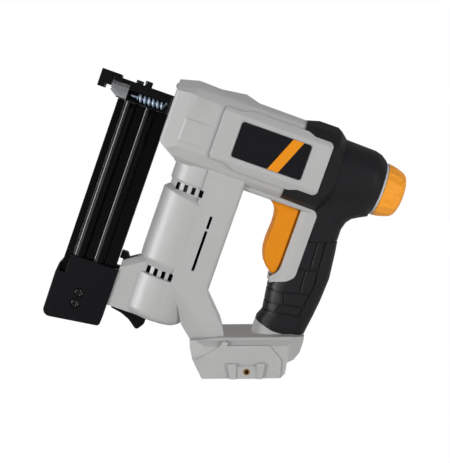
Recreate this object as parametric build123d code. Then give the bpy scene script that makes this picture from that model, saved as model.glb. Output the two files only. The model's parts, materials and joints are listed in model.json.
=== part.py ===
from build123d import *
import math
import os

# Driving dimensions, in millimetres and degrees.
# Tool frame: x runs along the barrel towards the knob, y across the tool, z up along the motor column.
# Its zero is on the barrel axis, straight above the motor. The foot is level when the tool is tilted.
TILT = 19.4
FOOT_DROP = 199.5
FOOT_SHIFT = 18.9
WALL = 2.8
SEAM = 0.2
GAP = 0.4
FIT = 0.05

# Flats on round pieces that stay out of sight, or are small.
DRUM_FLATS = 24
TUBE_FLATS = 20
RING_FLATS = 48
SHAFT_FLATS = 16
SCREW_FLATS = 12

# Head: the square grey casing above the column.
HEAD_FRONT = -41.6
HEAD_END = 66.0
HEAD_HALF = 33.5
PANEL_FACE = 36.2
PANEL_BACK = 31.4
PANEL_FRONT = -0.4
PANEL_END = 91.5
LABEL_FRONT = 16.2
LABEL_END = 75.0
LABEL_HALF = 14.7
LABEL_RECESS = 0.5
LENS_LEVEL = 25.0
LENS_RADIUS = 2.2

# Barrel, collar and knob at the rear.
COLLAR_HALF = 35.6
COLLAR_TOP = 35.9
BARREL_END = 142.0
BARREL_CORE = 26.6
BARREL_CORE_END = 133.0
BARREL_BORE = 22.4
RING_END = 143.6
KNOB_FLUTES = 18
FLUTE_WIDTH = 1.3
KNOB_FRONT = RING_END + GAP
KNOB_PROFILE = ((KNOB_FRONT, 22.5), (150, 21.8), (157.4, 19.6), (160.8, 17.4), (162.9, 12.4), (163.5, 7))
SCREW_END = 150.0

# Motor column, bracket and strut.
NECK_RADIUS = 23.2
BAND_RADIUS = 21.8
SLEEVE_RADIUS = 26.0
CUP_RADIUS = 25.3
COLUMN_BORE = 20.0
MOTOR_RADIUS = 22.5
MOTOR_TOP = -62.5
MOTOR_FOOT = -113.0
ROTOR_SHAFT = 2.5
OUTPUT_SHAFT = 3.6
FAN_BLADES = 9
WEB_HALF = 24.6
WEB_REAR = 36.0
BRACKET_HALF = 14.0
BRACKET_FRONT = -38.3
BRACKET_FOOT = -163.7
VENT_HALF = 1.6
UPPER_VENTS = (-15.1, -8.6, -2.1, 4.5)
LOWER_VENTS = (-15.7, -9.4, -2.9, 3.3)
WEB_SLOT_AT = 18.4
WEB_SLOT_HALF = 0.85

# Handle and trigger.
HANDLE_CORNER = 13.0
HANDLE_CORNER_STEPS = 4
HANDLE_CORE_INSET = 5.0
HANDLE_ROOM_FOOT = -150.0
GROOVE_WIDTH = 1.5
GROOVE_DEPTH = 1.2
TRIGGER_HALF = 11.0
TRIGGER_PIVOT = (72.0, -34.0)
PIN_RADIUS = 1.5

# Battery foot, in the level frame below the barrel's zero.
FOOT_TOP = -166.6
FOOT_BASE = -FOOT_DROP
FOOT_HALF = 33.4
FOOT_PLATE = 35.0
FOOT_PAD = 36.4
FOOT_RIB = 38.0
RAIL_SLOT_HALF = 26.0
RAIL_LIP_HALF = 23.0
RAIL_LIP_TOP = -195.0
SLOT_CEILING = -181.0
SLOT_END = 46.0
INSERT_AT = (23.4, -193.8)
INSERT_RADIUS = 2.6
INSERT_BORE = 1.7
INSERT_DEPTH = 8.0

# Nose, contact foot and magazine.
NOSE_FRONT = -86.7
NOSE_REAR = -43.0
NOSE_TOP = 15.6
NOSE_PLATE = 13.0
NOSE_FOOT = -0.2
NOSE_HALF = 14.0
GUIDE_FRONT = -92.5
GUIDE_REAR = -78.1
GUIDE_HALF = 14.6
BLADE_LEVEL = 8.6
BLADE_HALF = 2.9
CHANNEL_HALF = 3.3
TONGUE_HALF = 4.5
CONTACT_HALF = 11.0
TAB_FRONT = -76.8
TAB_LENGTH = 1.8
TAB_STOP = -69.5
SIDE_SPRING = (-68.9, -45.2)
SIDE_SPRING_AT = (-10.6, 4.7)
SIDE_SPRING_WIND = (2.5, 1.2, 4)
MAGAZINE_FRONT = -84.3
MAGAZINE_REAR = -41.6
MAGAZINE_TOP = -0.6
MAGAZINE_HALF = 10.6
MAGAZINE_END = -150.0
TUBE_RADIUS = 5.4
TUBE_AT = (-72.8, -56.5)
TUBE_OFFSET = 9.2
RAIL_HEAD_HALF = 5.9
RAIL_WEB_HALF = 2.9
BLOCK_TOP = -133.4
BLOCK_HALF = 16.5
LATCH_PIVOT = (-30.5, -155.0)
LATCH_PIN = 1.8
LATCH_PIN_HALF = 12.0
LATCH_HALF = 5.8
LATCH_SLOT_HALF = 6.4

# Drive: motor, gears, plunger and spring.
PRESSURE_ANGLE = 25.0
LIFTER_MODULE = 1.75
LIFTER_TEETH = 16
LIFTER_CUT_TEETH = 10
GEAR_MODULE = 1.0
PINION_TEETH = 11
GEAR_TEETH = 22
GEAR_LINE = -32.6
BACKLASH = 0.35
ADDENDUM = 0.9
DEDENDUM = 1.2
LIFTER_LEVELS = (-17.0, -9.0)
GEAR_LEVELS = (-28.6, -24.2)
FRAME_LEVELS = (-23.5, -18.5)
SHAFT_RADIUS = 4.0
RACK_BACK = 10.5
PLUNGER_FACE = 36.0
PLUNGER_RADIUS = 20.2
TUBE_BORE = 20.3
SPRING_RADIUS = 16.0
SPRING_WIRE = 3.6
SPRING_TURNS = 5
COIL_STEPS = 12
SPRING_SEAT = 128.0
SCREW_RADIUS = 5.0

# Housing screws: where each stands, seen from the side.
HOUSING_SCREWS = ((-29.0, 20.5), (28.0, -82.0), (117.5, -60.0), (100.0, -128.0))
SCREW_SEAT = 9.0
SCREW_POST = 4.4
SCREW_HEAD = 3.2
SCREW_SHANK = 1.5


# Shared ways of making a solid.
def outline(corners):
    """A closed face from corners given as (across, up) or (across, up, corner radius)."""
    points = [corner[:2] for corner in corners]
    radii = [corner[2] if len(corner) > 2 else 0 for corner in corners]
    return make_face(FilletPolyline(*points, radius=radii, close=True))


def side_prism(corners, low_y, high_y):
    """A side outline in x and z, carried across from low_y to high_y."""
    return extrude(Plane.XZ.offset(-low_y) * outline(corners), amount=low_y - high_y)


def end_prism(corners, low_x, high_x):
    """An end outline in y and z, carried along from low_x to high_x."""
    return extrude(Plane.YZ.offset(low_x) * outline(corners), amount=high_x - low_x)


def plan_prism(corners, low_z, high_z):
    """A plan outline in x and y, carried up from low_z to high_z."""
    return extrude(Plane.XY.offset(low_z) * outline(corners), amount=high_z - low_z)


def bar(low, high):
    """A box between two opposite corners."""
    size = [b - a for a, b in zip(low, high)]
    return Pos(*low) * Box(*size, align=(Align.MIN, Align.MIN, Align.MIN))


def disc(radius, flats):
    """A round face, or one with that many flats on it for pieces that stay out of sight."""
    return RegularPolygon(radius, flats) if flats else Circle(radius)


def rod_x(radius, low_x, high_x, y=0.0, z=0.0, flats=0):
    """A bar along x."""
    return extrude(Plane.YZ.offset(low_x) * Pos(y, z) * disc(radius, flats), amount=high_x - low_x)


def rod_y(radius, low_y, high_y, x=0.0, z=0.0, flats=0):
    """A bar along y."""
    return extrude(Plane.XZ.offset(-low_y) * Pos(x, z) * disc(radius, flats), amount=low_y - high_y)


def rod_z(radius, low_z, high_z, x=0.0, y=0.0, flats=0):
    """A bar along z."""
    return extrude(Plane.XY.offset(low_z) * Pos(x, y) * disc(radius, flats), amount=high_z - low_z)


def flat_loft(rings):
    """A solid through rings of matching points, with one flat face between each pair of matching edges."""
    faces = [Face(Wire.make_polygon(ring)) for ring in (rings[0], rings[-1])]
    for low, high in zip(rings, rings[1:]):
        for i, corner in enumerate(low):
            faces.append(Face(Wire.make_polygon([low[i - 1], corner, high[i], high[i - 1]])))
    return Solid(Shell(faces))


def round_ring(x, radius, flats):
    """A ring of points round the barrel axis, for a loft of flats."""
    turns = [2 * math.pi / flats * i for i in range(flats)]
    return [(x, radius * math.sin(turn), radius * math.cos(turn)) for turn in turns]


def turned_x(profile):
    """A solid turned about the barrel axis from corners of (x, radius) or (x, radius, corner radius)."""
    return revolve(Plane.XZ * outline(profile), Axis.X)


def turned_z(profile):
    """A solid turned about the column axis from corners of (radius, z) or (radius, z, corner radius)."""
    return revolve(Plane.XZ * outline(profile), Axis.Z)


def coil_x(low_x, high_x, axis_at, radius, wire, turns):
    """A coil of square wire along x, carried round its axis in short mitred runs."""
    start = low_x + wire / 2
    rise = high_x - wire / 2 - start
    steps = turns * COIL_STEPS
    points = []
    for i in range(steps + 1):
        angle = 2 * math.pi * i / COIL_STEPS
        y = axis_at[0] + radius * math.cos(angle)
        z = axis_at[1] + radius * math.sin(angle)
        points.append((start + rise * i / steps, y, z))
    path = Polyline(*points)
    section = Plane(origin=points[0], x_dir=(1, 0, 0), z_dir=path % 0) * Rectangle(wire, wire)
    print("coil gap", round(rise / turns - wire, 2))
    return sweep(section, path=path, transition=Transition.RIGHT)


def beyond(point, along, outward):
    """Everything on the outer side of a sloping plane near the point."""
    block = Box(160, 160, 40, align=(Align.CENTER, Align.CENTER, Align.MIN))
    return Plane(point, x_dir=along, z_dir=outward) * block


def both_sides(shape):
    """A shape and its mirror across the tool's middle plane."""
    return shape + mirror(shape, about=Plane.XZ)


def level(shape):
    """Turns a shape drawn in the level frame into the tool frame."""
    return Rot(0, -TILT, 0) * shape


def mirrored(corners):
    """An end outline's right half, given from top to bottom, closed by its mirror image."""
    left = [(-c[0], *c[1:]) for c in reversed(corners)]
    return [*corners, *left]


def across(corners):
    """A plan outline's right half, given from front to rear, closed by its mirror image."""
    left = [(c[0], -c[1], *c[2:]) for c in reversed(corners)]
    return [*corners, *left]


# Outer forms of the housing.
def head_form():
    """The square head: its side, end and plan outlines, cut by one long bevel at each front top edge."""
    side = side_prism(
        [
            (HEAD_FRONT, 30),
            (-26.3, 34),
            (-7.6, 33.4),
            (13.1, 36.3),
            (25, 32.9),
            (HEAD_END, 32.6),
            (HEAD_END, -33.2),
            (-24.5, -33.2),
            (-25.5, -31.6),
            (-39.8, -23.2),
            (HEAD_FRONT, -20.5),
        ],
        -HEAD_HALF,
        HEAD_HALF,
    )
    upper = [(15, 36.8, 5), (27, 29, 9), (HEAD_HALF, 19, 9)]
    lower = [(HEAD_HALF, -19, 9), (26, -29.5, 6), (19, -34, 3)]
    end = end_prism(mirrored(upper + lower), HEAD_FRONT - 1, HEAD_END + 1)
    plan_half = [(HEAD_FRONT, 26.5, 4), (-27, 31.7, 14), (2, HEAD_HALF, 40), (HEAD_END, HEAD_HALF)]
    plan = plan_prism(across(plan_half), -40, 40)
    bevel = beyond((HEAD_FRONT, 27.0, 20.5), (32, 5.5, 11.0), (-0.30, 0.62, 0.72))
    pad = bar((-28.0, -33.1, -16.2), (2.0, 33.1, 2.4))
    return (side & end & plan) - both_sides(bevel) + pad


PANEL_OUTLINE = [
    (PANEL_FRONT, 22.4, 2.5),
    (15.3, 22.4),
    (25.3, 27.6),
    (63.1, 27.6),
    (75.5, 22.5),
    (PANEL_END, 22.5, 4),
    (PANEL_END, -22.5, 4),
    (75.5, -22.5),
    (63.1, -27.3),
    (25.3, -27.3),
    (15.3, -21.6),
    (PANEL_FRONT, -21.6, 2.5),
]


def panel_pocket():
    """The room for both side panels, with a shadow gap round them."""
    face = offset(outline(PANEL_OUTLINE), SEAM)
    return both_sides(extrude(Plane.XZ.offset(-PANEL_BACK) * face, amount=-20))


def collar_form():
    """The black collar: a square form that slopes down to the round barrel."""
    upper = [(17, 37, 6), (28, 30, 9), (COLLAR_HALF, 19, 9)]
    lower = [(COLLAR_HALF, -19, 9), (27, -30, 9), (18, -34.5, 3)]
    square = end_prism(mirrored(upper + lower), HEAD_END, 108)
    side = side_prism(
        [(HEAD_END, 33), (75.6, 35.8), (92, COLLAR_TOP), (102, 29.4), (104, -34.5), (HEAD_END, -33.2)],
        -40,
        40,
    )
    plan = plan_prism(across([(HEAD_END, COLLAR_HALF), (94.0, COLLAR_HALF), (104.2, 29.2)]), -40, 40)
    slope = turned_x([(HEAD_END - 1, 0), (HEAD_END - 1, 48), (89.0, 48), (104.8, 29.3), (104.8, 0)])
    return square & side & plan & slope


BARREL_PROFILE = ((98, 29.6), (102.7, 29.6), (130.5, 28.9), (136, 27.4), (140.8, 24.2), (BARREL_END, 22.9))


def barrel_form():
    """The round barrel, tapering a little to its rounded rear end."""
    return flat_loft([round_ring(*row, RING_FLATS) for row in BARREL_PROFILE])


HANDLE_LEVELS = [
    # level, front, rear, half width
    (-16.0, 91.0, 141.4, 24.2),
    (-20.5, 90.0, 141.4, 22.1),
    (-24.5, 89.5, 141.0, 20.7),
    (-27.5, 89.0, 135.4, 19.9),
    (-31.0, 88.5, 129.6, 19.2),
    (-35.5, 88.0, 126.3, 18.5),
    (-42.0, 87.4, 124.6, 17.9),
    (-50.0, 87.0, 124.8, 17.5),
    (-62.0, 86.4, 126.8, 17.5),
    (-84.0, 85.0, 129.4, 18.0),
    (-104.0, 82.4, 128.6, 17.9),
    (-120.0, 84.6, 127.0, 17.5),
    (-127.0, 85.5, 126.1, 17.2),
    (-133.0, 82.9, 125.3, 17.6),
    (-156.0, 83.0, 121.6, 17.8),
]


def handle_ring(height, front, rear, half, inset):
    """One level section of the grip, drawn in by inset: a rectangle with corners turned in straight steps."""
    centre_front = front + HANDLE_CORNER
    centre_rear = rear - HANDLE_CORNER
    centre_half = half - HANDLE_CORNER
    centres = [
        (centre_rear, centre_half),
        (centre_front, centre_half),
        (centre_front, -centre_half),
        (centre_rear, -centre_half),
    ]
    radius = HANDLE_CORNER - inset
    points = []
    for quarter, (x, y) in enumerate(centres):
        for step in range(HANDLE_CORNER_STEPS + 1):
            angle = math.pi / 2 * (quarter + step / HANDLE_CORNER_STEPS)
            points.append((x + radius * math.cos(angle), y + radius * math.sin(angle), height))
    return points


def handle_form(inset=0.0):
    """The grip's body: a loft of flats through level sections."""
    return flat_loft([handle_ring(*row, inset) for row in HANDLE_LEVELS])


GRIP_GROOVES = [
    # runs in x and z that part the grip's pads
    [(100.2, -60.2), (126.0, -51.1)],
    [(108.2, -58.0), (109.4, -81.4)],
    [(114.1, -56.0), (117.5, -94.0), (113.7, -120.5)],
    [(100.4, -84.0), (115.6, -80.0)],
    [(106.4, -82.8), (108.0, -102.2)],
    [(80.0, -108.0), (93.6, -106.3), (115.8, -100.9)],
    [(95.6, -106.2), (98.6, -115.6)],
    [(80.0, -119.2), (114.6, -112.8)],
    [(97.0, -116.2), (95.0, -123.6)],
    [(80.0, -126.2), (114.2, -120.9)],
]


def groove_cuts():
    """The grip's grooves: narrow straight runs, as deep as the skin between two handle forms."""
    runs = []
    for path in GRIP_GROOVES:
        for (x0, z0), (x1, z1) in zip(path, path[1:]):
            slope = math.degrees(math.atan2(z1 - z0, x1 - x0))
            run = Box(math.hypot(x1 - x0, z1 - z0) + GROOVE_WIDTH, 60, GROOVE_WIDTH)
            runs.append(Pos((x0 + x1) / 2, 0, (z0 + z1) / 2) * Rot(0, -slope, 0) * run)
    return runs[0].fuse(*runs[1:]) - handle_form(GROOVE_DEPTH)


def handle_core(inset):
    """A flat-sided core inside the grip, drawn in by inset all round."""
    front = [(row[1] + inset, row[0]) for row in HANDLE_LEVELS]
    rear = [(row[2] - inset, row[0]) for row in reversed(HANDLE_LEVELS)]
    half = min(row[3] for row in HANDLE_LEVELS) - inset
    return side_prism(front + rear, -half, half)


def sleeve_form():
    """The motor sleeve: a round jacket whose top edge slopes down to the rear and is bevelled."""
    jacket = turned_z(
        [
            (0, -45),
            (SLEEVE_RADIUS, -45),
            (SLEEVE_RADIUS, -113.8),
            (23.4, -118.6),
            (BAND_RADIUS, -121),
            (0, -121),
        ]
    )
    jacket -= beyond((-SLEEVE_RADIUS, 0, -52.0), (1, 0, -0.17), (0.17, 0, 1))
    rim = jacket.faces().sort_by(Axis.Z)[-1].edges()
    return chamfer(rim, 3.6)


def column_form():
    """Neck, vent bands, motor sleeve and lower cup."""
    neck = turned_z(
        [(0, -26), (NECK_RADIUS, -26), (NECK_RADIUS, -46.6), (BAND_RADIUS, -48), (BAND_RADIUS, -60), (0, -60)]
    )
    band = rod_z(BAND_RADIUS, -130, -119)
    cup = turned_z(
        [
            (0, -127.6),
            (CUP_RADIUS - 0.6, -127.6),
            (CUP_RADIUS, -128.2),
            (CUP_RADIUS, BRACKET_FOOT + 6.5),
            (CUP_RADIUS - 1.8, BRACKET_FOOT + 2.4),
            (CUP_RADIUS - 5.6, BRACKET_FOOT),
            (0, BRACKET_FOOT),
        ]
    )
    return neck + sleeve_form() + band + cup


def strut_form():
    """The flat web behind the column, running on as the slanting strut, with a long facet under its ridge."""
    web = plan_prism(across([(4, WEB_HALF), (WEB_REAR, WEB_HALF, 4)]), -144, -30)
    strut = side_prism(
        [
            (8, -128),
            (34, -122),
            (36.0, -127, 5),
            (56.0, -148.0),
            (59.8, -153.4),
            (60.4, -168),
            (48, -176),
            (35.3, -168.5),
            (24, -158.5),
            (16.5, -145),
            (8, -137),
        ],
        -WEB_HALF,
        WEB_HALF,
    )
    facet = beyond((19.2, -WEB_HALF, -137), (37, 0, -24.5), (-0.278, -0.864, -0.42))
    return web + strut - both_sides(facet)


def bracket_form():
    """The bracket that carries the magazine latch, with bevelled top edges and a slot for the lever."""
    cheeks = side_prism(
        [
            (BRACKET_FRONT, BRACKET_FOOT),
            (-10, BRACKET_FOOT),
            (-10, -107),
            (-35.9, -123.8),
            (BRACKET_FRONT, -125.8),
        ],
        -BRACKET_HALF,
        BRACKET_HALF,
    )
    return cheeks - both_sides(beyond((-37.9, -BRACKET_HALF, -130.8), (16.7, 0, 10.8), (-54, -83.6, 83.5)))


def foot_form():
    """The battery foot with its side plates and belt-hook ribs, drawn level."""
    block = side_prism(
        [
            (-22.6, -169.6, 2),
            (2, FOOT_TOP),
            (60, FOOT_TOP),
            (72.6, -168.6),
            (68.0, -180.6, 6),
            (62.6, -185.6),
            (56.4, -187.2),
            (56.0, -191.0),
            (54.8, -196.4),
            (51.4, FOOT_BASE),
            (-13.4, FOOT_BASE),
            (-20.6, -185),
            (-22.6, -175),
        ],
        -FOOT_HALF,
        FOOT_HALF,
    )
    ledge = [(27.2, FOOT_TOP), (28.4, -167.0), (30.2, -169.4), (29.5, -169.9)]
    shoulders = end_prism(mirrored([*ledge, (FOOT_HALF, -173.4), (FOOT_HALF, FOOT_BASE)]), -30, 80)
    plan_half = [(-23, 26), (-10, FOOT_HALF), (57, FOOT_HALF, 10), (71, 20, 9), (74, 8)]
    plan = plan_prism(across(plan_half), FOOT_BASE, FOOT_TOP)
    plate = side_prism(
        [
            (0.4, -174.0),
            (5.2, -168.8),
            (8.8, -170.0),
            (7.4, -172.6),
            (42.1, -172.6, 4),
            (51.9, -185.2, 4),
            (50.5, FOOT_BASE),
            (-12.7, FOOT_BASE),
            (-19.5, -185.1, 3),
        ],
        -FOOT_PLATE,
        FOOT_PLATE,
    )
    pad = bar((14.5, -FOOT_PAD, FOOT_BASE), (32.0, FOOT_PAD, -189.0))
    front_rib = [(7.6, -186.8), (15.2, -186.8), (14.8, FOOT_BASE), (10.0, FOOT_BASE)]
    rear_rib = [(31.7, -186.8), (38.6, -186.4), (36.2, FOOT_BASE), (32.0, FOOT_BASE)]
    ribs = side_prism(front_rib, -FOOT_RIB, FOOT_RIB) + side_prism(rear_rib, -FOOT_RIB, FOOT_RIB)
    return level((block & shoulders & plan) + plate + pad + ribs)


def rubber_zone():
    """Everything above the soft grip's curved lower edge."""
    edge = [(127.5, -132.2), (117, -137.7, 20), (99, -140.3, 40), (83, -136.2, 12), (50, -124)]
    return side_prism([(50, -10), (160, -10), (160, -118), *edge], -60, 60)


def trigger_frame_zone():
    """The side outline of the bare grey frame round the trigger."""
    return side_prism(
        [
            (62, -30),
            (62, -33.9),
            (100.0, -33.9, 6),
            (100.0, -91.6, 7),
            (94.6, -96.7, 5),
            (80.6, -103.1),
            (70, -100),
            (60, -60),
        ],
        -30,
        30,
    )


def hard_form(handle):
    """The whole grey moulding before it is hollowed and split."""
    beam = end_prism(mirrored([(18, -28), (18, -37.7, 3)]), 20, 96)
    lip_points = [
        (87.0, -84),
        (86.8, -88.5),
        (84.3, -94.0),
        (82.3, -96.0),
        (78.3, -94.6),
        (80.7, -103.0),
        (92, -98.0),
        (96, -84),
    ]
    lip = side_prism(lip_points, -13.5, 13.5)
    cheeks = plan_prism(across([(86.8, 12.8), (92, 16.0), (101, 17.2)]), -99, -33.9) & trigger_frame_zone()
    collar_core = end_prism(
        mirrored([(13, 30), (24, 25), (30.4, 15), (30.4, -15), (24, -25), (14, -30.5)]),
        60,
        92,
    )
    barrel_core = rod_x(BARREL_CORE, 60, BARREL_CORE_END, flats=DRUM_FLATS)
    form = head_form() + column_form() + strut_form() + bracket_form() + foot_form() + beam
    form = form + collar_core + barrel_core + handle_core(HANDLE_CORE_INSET)
    form = form + (handle & trigger_frame_zone())
    form = form + (handle - rubber_zone())
    return form + cheeks + lip


# Rooms inside the housing.
def head_room():
    """The gear room in the head."""
    side = side_prism(
        [(-37, 22), (-26, 27), (0, 28.6), (64, 28.6), (64, -29.6), (-22, -29.6), (-36.6, -19.5)], -30, 30
    )
    end = end_prism(
        mirrored([(13, 29.5), (23, 25.5), (29, 16), (29, -16), (24.5, -27.0), (19, -29.8)]), -40, 66
    )
    plan = plan_prism(across([(-37, 22.5), (-26, 27.6), (2, 29.2), (66, 29.2)]), -40, 40)
    return side & end & plan


def column_room():
    """The motor's bore, the fan's cup, the wire duct in the web and strut."""
    bore = rod_z(COLUMN_BORE, -134, -26, flats=DRUM_FLATS)
    motor = rod_z(MOTOR_RADIUS + FIT, MOTOR_FOOT, MOTOR_TOP, flats=DRUM_FLATS)
    cup = rod_z(CUP_RADIUS - WALL, BRACKET_FOOT + WALL, -131, flats=DRUM_FLATS)
    web_half = WEB_HALF - WALL - 1.2
    web = bar((4, -web_half, -136), (WEB_REAR - WALL, web_half, -41))
    duct = side_prism([(12, -134), (33, -130), (53, -150), (52, -166), (40, -163), (28, -152)], -11, 11)
    return bore + motor + cup + web + duct


def handle_room():
    """The hollow of the handle, with the trigger's pocket open to the front."""
    hollow = handle_core(HANDLE_CORE_INSET + WALL) & bar((80, -20, HANDLE_ROOM_FOOT), (135, 20, -30))
    half = TRIGGER_HALF + GAP
    pocket = side_prism([(55, -30), (98, -30), (98, -92), (88, -98.5), (75, -98.5), (55, -60)], -half, half)
    return hollow + pocket


def foot_room():
    """The board's room and the battery's slide slot, drawn level."""
    board = bar((-12, -24, -179), (54, 24, -171))
    slot = bar((-40, -RAIL_SLOT_HALF, RAIL_LIP_TOP), (SLOT_END, RAIL_SLOT_HALF, SLOT_CEILING))
    mouth = bar((-40, -RAIL_LIP_HALF, FOOT_BASE - 1), (SLOT_END, RAIL_LIP_HALF, RAIL_LIP_TOP))
    well = rod_y(INSERT_RADIUS, FOOT_PAD - INSERT_DEPTH, FOOT_RIB + 1, *INSERT_AT, flats=DRUM_FLATS)
    return level(board + slot + mouth + both_sides(well))


def vents():
    """Cooling slots through both sides of the column, and the long slots in its web."""
    cuts = []
    for x in UPPER_VENTS:
        cuts.append(slot_across(x, VENT_HALF, -54.6, -48.6))
    for x in LOWER_VENTS:
        cuts.append(slot_across(x, VENT_HALF, -127.4, -121.3))
    cuts.append(slot_across(WEB_SLOT_AT, WEB_SLOT_HALF, -76.7, -66.0))
    cuts.append(slot_across(WEB_SLOT_AT, WEB_SLOT_HALF, -112.9, -78.6))
    return cuts


def slot_across(x, half, low_z, high_z):
    """One slot, cut straight across the tool."""
    return bar((x - half, -30, low_z), (x + half, 30, high_z))


def screw_posts():
    """The square posts that the housing screws pass through."""
    posts = []
    for x, z in HOUSING_SCREWS:
        posts.append(bar((x - SCREW_POST, -40, z - SCREW_POST), (x + SCREW_POST, 40, z + SCREW_POST)))
    return posts[0].fuse(*posts[1:])


def screw_wells():
    """Head wells from the far side and shank holes of the housing screws."""
    cuts = []
    for x, z in HOUSING_SCREWS:
        cuts.append(rod_y(SCREW_HEAD + GAP, SCREW_SEAT, 45, x, z, flats=SCREW_FLATS))
        cuts.append(rod_y(SCREW_SHANK + 2 * FIT, -SCREW_SEAT - 1, SCREW_SEAT + 1, x, z, flats=SCREW_FLATS))
    return cuts


def nose_openings():
    """The driver's slot and the lamp's hole in the head's front wall, and the latch lever's slot."""
    driver = bar((HEAD_FRONT - 1, -4, BLADE_LEVEL - 2), (-35, 4, BLADE_LEVEL + 2))
    lamp = rod_x(LENS_RADIUS + FIT, HEAD_FRONT - 2, -34, z=LENS_LEVEL, flats=SHAFT_FLATS)
    latch = bar((-45, -LATCH_SLOT_HALF, -170), (-25.8, LATCH_SLOT_HALF, -110))
    pin = rod_y(LATCH_PIN, -LATCH_PIN_HALF, LATCH_PIN_HALF, *LATCH_PIVOT)
    trigger_pin = rod_y(PIN_RADIUS, -17, 17, *TRIGGER_PIVOT)
    bore = rod_x(BARREL_BORE, 62, BARREL_END + 1)
    return [driver, lamp, latch, pin, trigger_pin, bore]


def near_half(shape):
    """The half of a moulding on the near side of the split line."""
    return shape & bar((-200, -80, -260), (250, 0, 100))


def far_half(shape):
    """The half of a moulding on the far side of the split line."""
    return shape & bar((-200, 0, -260), (250, 80, 100))


# Housing, soft grip, panels and what is fixed to them.
def housing_nodes():
    """Both housing halves and both soft grips."""
    handle = handle_form()
    hard = hard_form(handle)
    soft = collar_form() + barrel_form() + ((handle - groove_cuts()) & rubber_zone())
    soft = soft - hard - panel_pocket()
    wells = screw_wells()
    rooms = head_room() + column_room() + handle_room() - screw_posts()
    hard = hard - rooms - foot_room() - panel_pocket()
    hard = hard.cut(*vents(), *wells, *nose_openings())
    soft = soft.cut(*wells, rod_x(BARREL_BORE, 62, BARREL_END + 1))
    return {
        "housing_left": near_half(hard),
        "housing_right": far_half(hard),
        "grip_left": near_half(soft),
        "grip_right": far_half(soft),
    }


def panel_nodes():
    """The raised side panels and the bare label plate on the near one."""
    plate = extrude(Plane.XZ.offset(-PANEL_BACK) * outline(PANEL_OUTLINE), amount=-10)
    crown = end_prism(
        mirrored([(29.2, 28.5), (PANEL_FACE, 18.6, 3), (PANEL_FACE, -18.6, 3), (29.2, -28.5)]),
        PANEL_FRONT - 1,
        PANEL_END + 1,
    )
    far = plate & crown
    label = side_prism(
        [
            (LABEL_FRONT, LABEL_HALF, 2),
            (LABEL_END, LABEL_HALF, 2),
            (LABEL_END, -LABEL_HALF, 2),
            (LABEL_FRONT, -LABEL_HALF, 2),
        ],
        -PANEL_FACE,
        LABEL_RECESS - PANEL_FACE,
    )
    return {
        "side_panel_left": mirror(far, about=Plane.XZ) - label,
        "side_panel_right": far,
        "label_plate": label,
    }


def fastener_nodes():
    """Housing screws, the lamp's lens and the belt-hook inserts."""
    screws = []
    for x, z in HOUSING_SCREWS:
        head = rod_y(SCREW_HEAD, SCREW_SEAT, SCREW_SEAT + 2.6, x, z, flats=SCREW_FLATS)
        screws.append(head + rod_y(SCREW_SHANK, -SCREW_SEAT, SCREW_SEAT, x, z, flats=SCREW_FLATS))
    lens = rod_x(LENS_RADIUS, -43.4, -36, flats=SHAFT_FLATS)
    insert = rod_y(INSERT_RADIUS, FOOT_PAD - INSERT_DEPTH, FOOT_PAD + 0.3, *INSERT_AT, flats=DRUM_FLATS)
    insert -= rod_y(INSERT_BORE, FOOT_PAD - INSERT_DEPTH, FOOT_PAD + 1, *INSERT_AT)
    return {
        "housing_screws": Compound(screws),
        "lamp_lens": Pos(0, 0, LENS_LEVEL) * lens,
        "belt_hook_inserts": level(both_sides(insert)),
    }


# Power knob and the spring's adjuster.
def knob_nodes():
    """Trim ring, fluted power knob, adjuster screw and the spring seat that the screw moves."""
    ring = rod_x(BARREL_BORE - FIT, 138, RING_END, flats=RING_FLATS)
    ring -= rod_x(SCREW_RADIUS + 2 * FIT, 137, RING_END + 1, flats=DRUM_FLATS)
    knob = flat_loft([round_ring(*row, 2 * KNOB_FLUTES) for row in KNOB_PROFILE])
    flute = Pos(153.4, 0, 22.0) * Rot(0, 13, 0) * Box(13, FLUTE_WIDTH, 3.4)
    flutes = [Rot(360 / KNOB_FLUTES * i, 0, 0) * flute for i in range(KNOB_FLUTES)]
    seat = rod_x(PLUNGER_RADIUS, SPRING_SEAT, SPRING_SEAT + 6, flats=DRUM_FLATS)
    return {
        "trim_ring": ring,
        "power_knob": knob.cut(rod_x(SCREW_RADIUS, RING_END, SCREW_END, flats=DRUM_FLATS), *flutes),
        "adjuster_screw": rod_x(SCREW_RADIUS, 112, SCREW_END, flats=DRUM_FLATS),
        "spring_seat": seat - rod_x(SCREW_RADIUS + GAP, 120, 140, flats=DRUM_FLATS),
    }


# Trigger.
def trigger_nodes():
    """Trigger, its pin, return spring and switch."""
    body = side_prism(
        [
            (58.9, -38.1),
            (64.8, -39.8, 3),
            (68.0, -48.5, 8),
            (66.0, -72.5, 16),
            (71.0, -88.2, 14),
            (82.2, -95.2, 2.5),
            (85.9, -85, 5),
            (86.0, -41.6, 3),
            (82.7, -38.1),
        ],
        -TRIGGER_HALF,
        TRIGGER_HALF,
    )
    skirt = side_prism([(79, -38.6), (90, -38.6), (89.4, -87), (80, -90)], 8.6, TRIGGER_HALF - 0.2)
    hub = rod_y(3.4, -TRIGGER_HALF, TRIGGER_HALF, *TRIGGER_PIVOT, flats=SCREW_FLATS)
    hub += bar((68.6, -TRIGGER_HALF, -39), (75.4, TRIGGER_HALF, -34))
    bore = rod_y(PIN_RADIUS + FIT, -TRIGGER_HALF - 1, TRIGGER_HALF + 1, *TRIGGER_PIVOT)
    switch = bar((99, -9, -76), (112.5, 9, -48)) + rod_x(3, 90.6, 99, z=-58, flats=SCREW_FLATS)
    return {
        "trigger": body + both_sides(skirt) + hub - bore,
        "trigger_pin": rod_y(PIN_RADIUS, -17, 17, *TRIGGER_PIVOT),
        "trigger_spring": rod_x(3.4, 86.4, 98.9, z=-70, flats=SCREW_FLATS),
        "trigger_switch": switch,
    }


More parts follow.
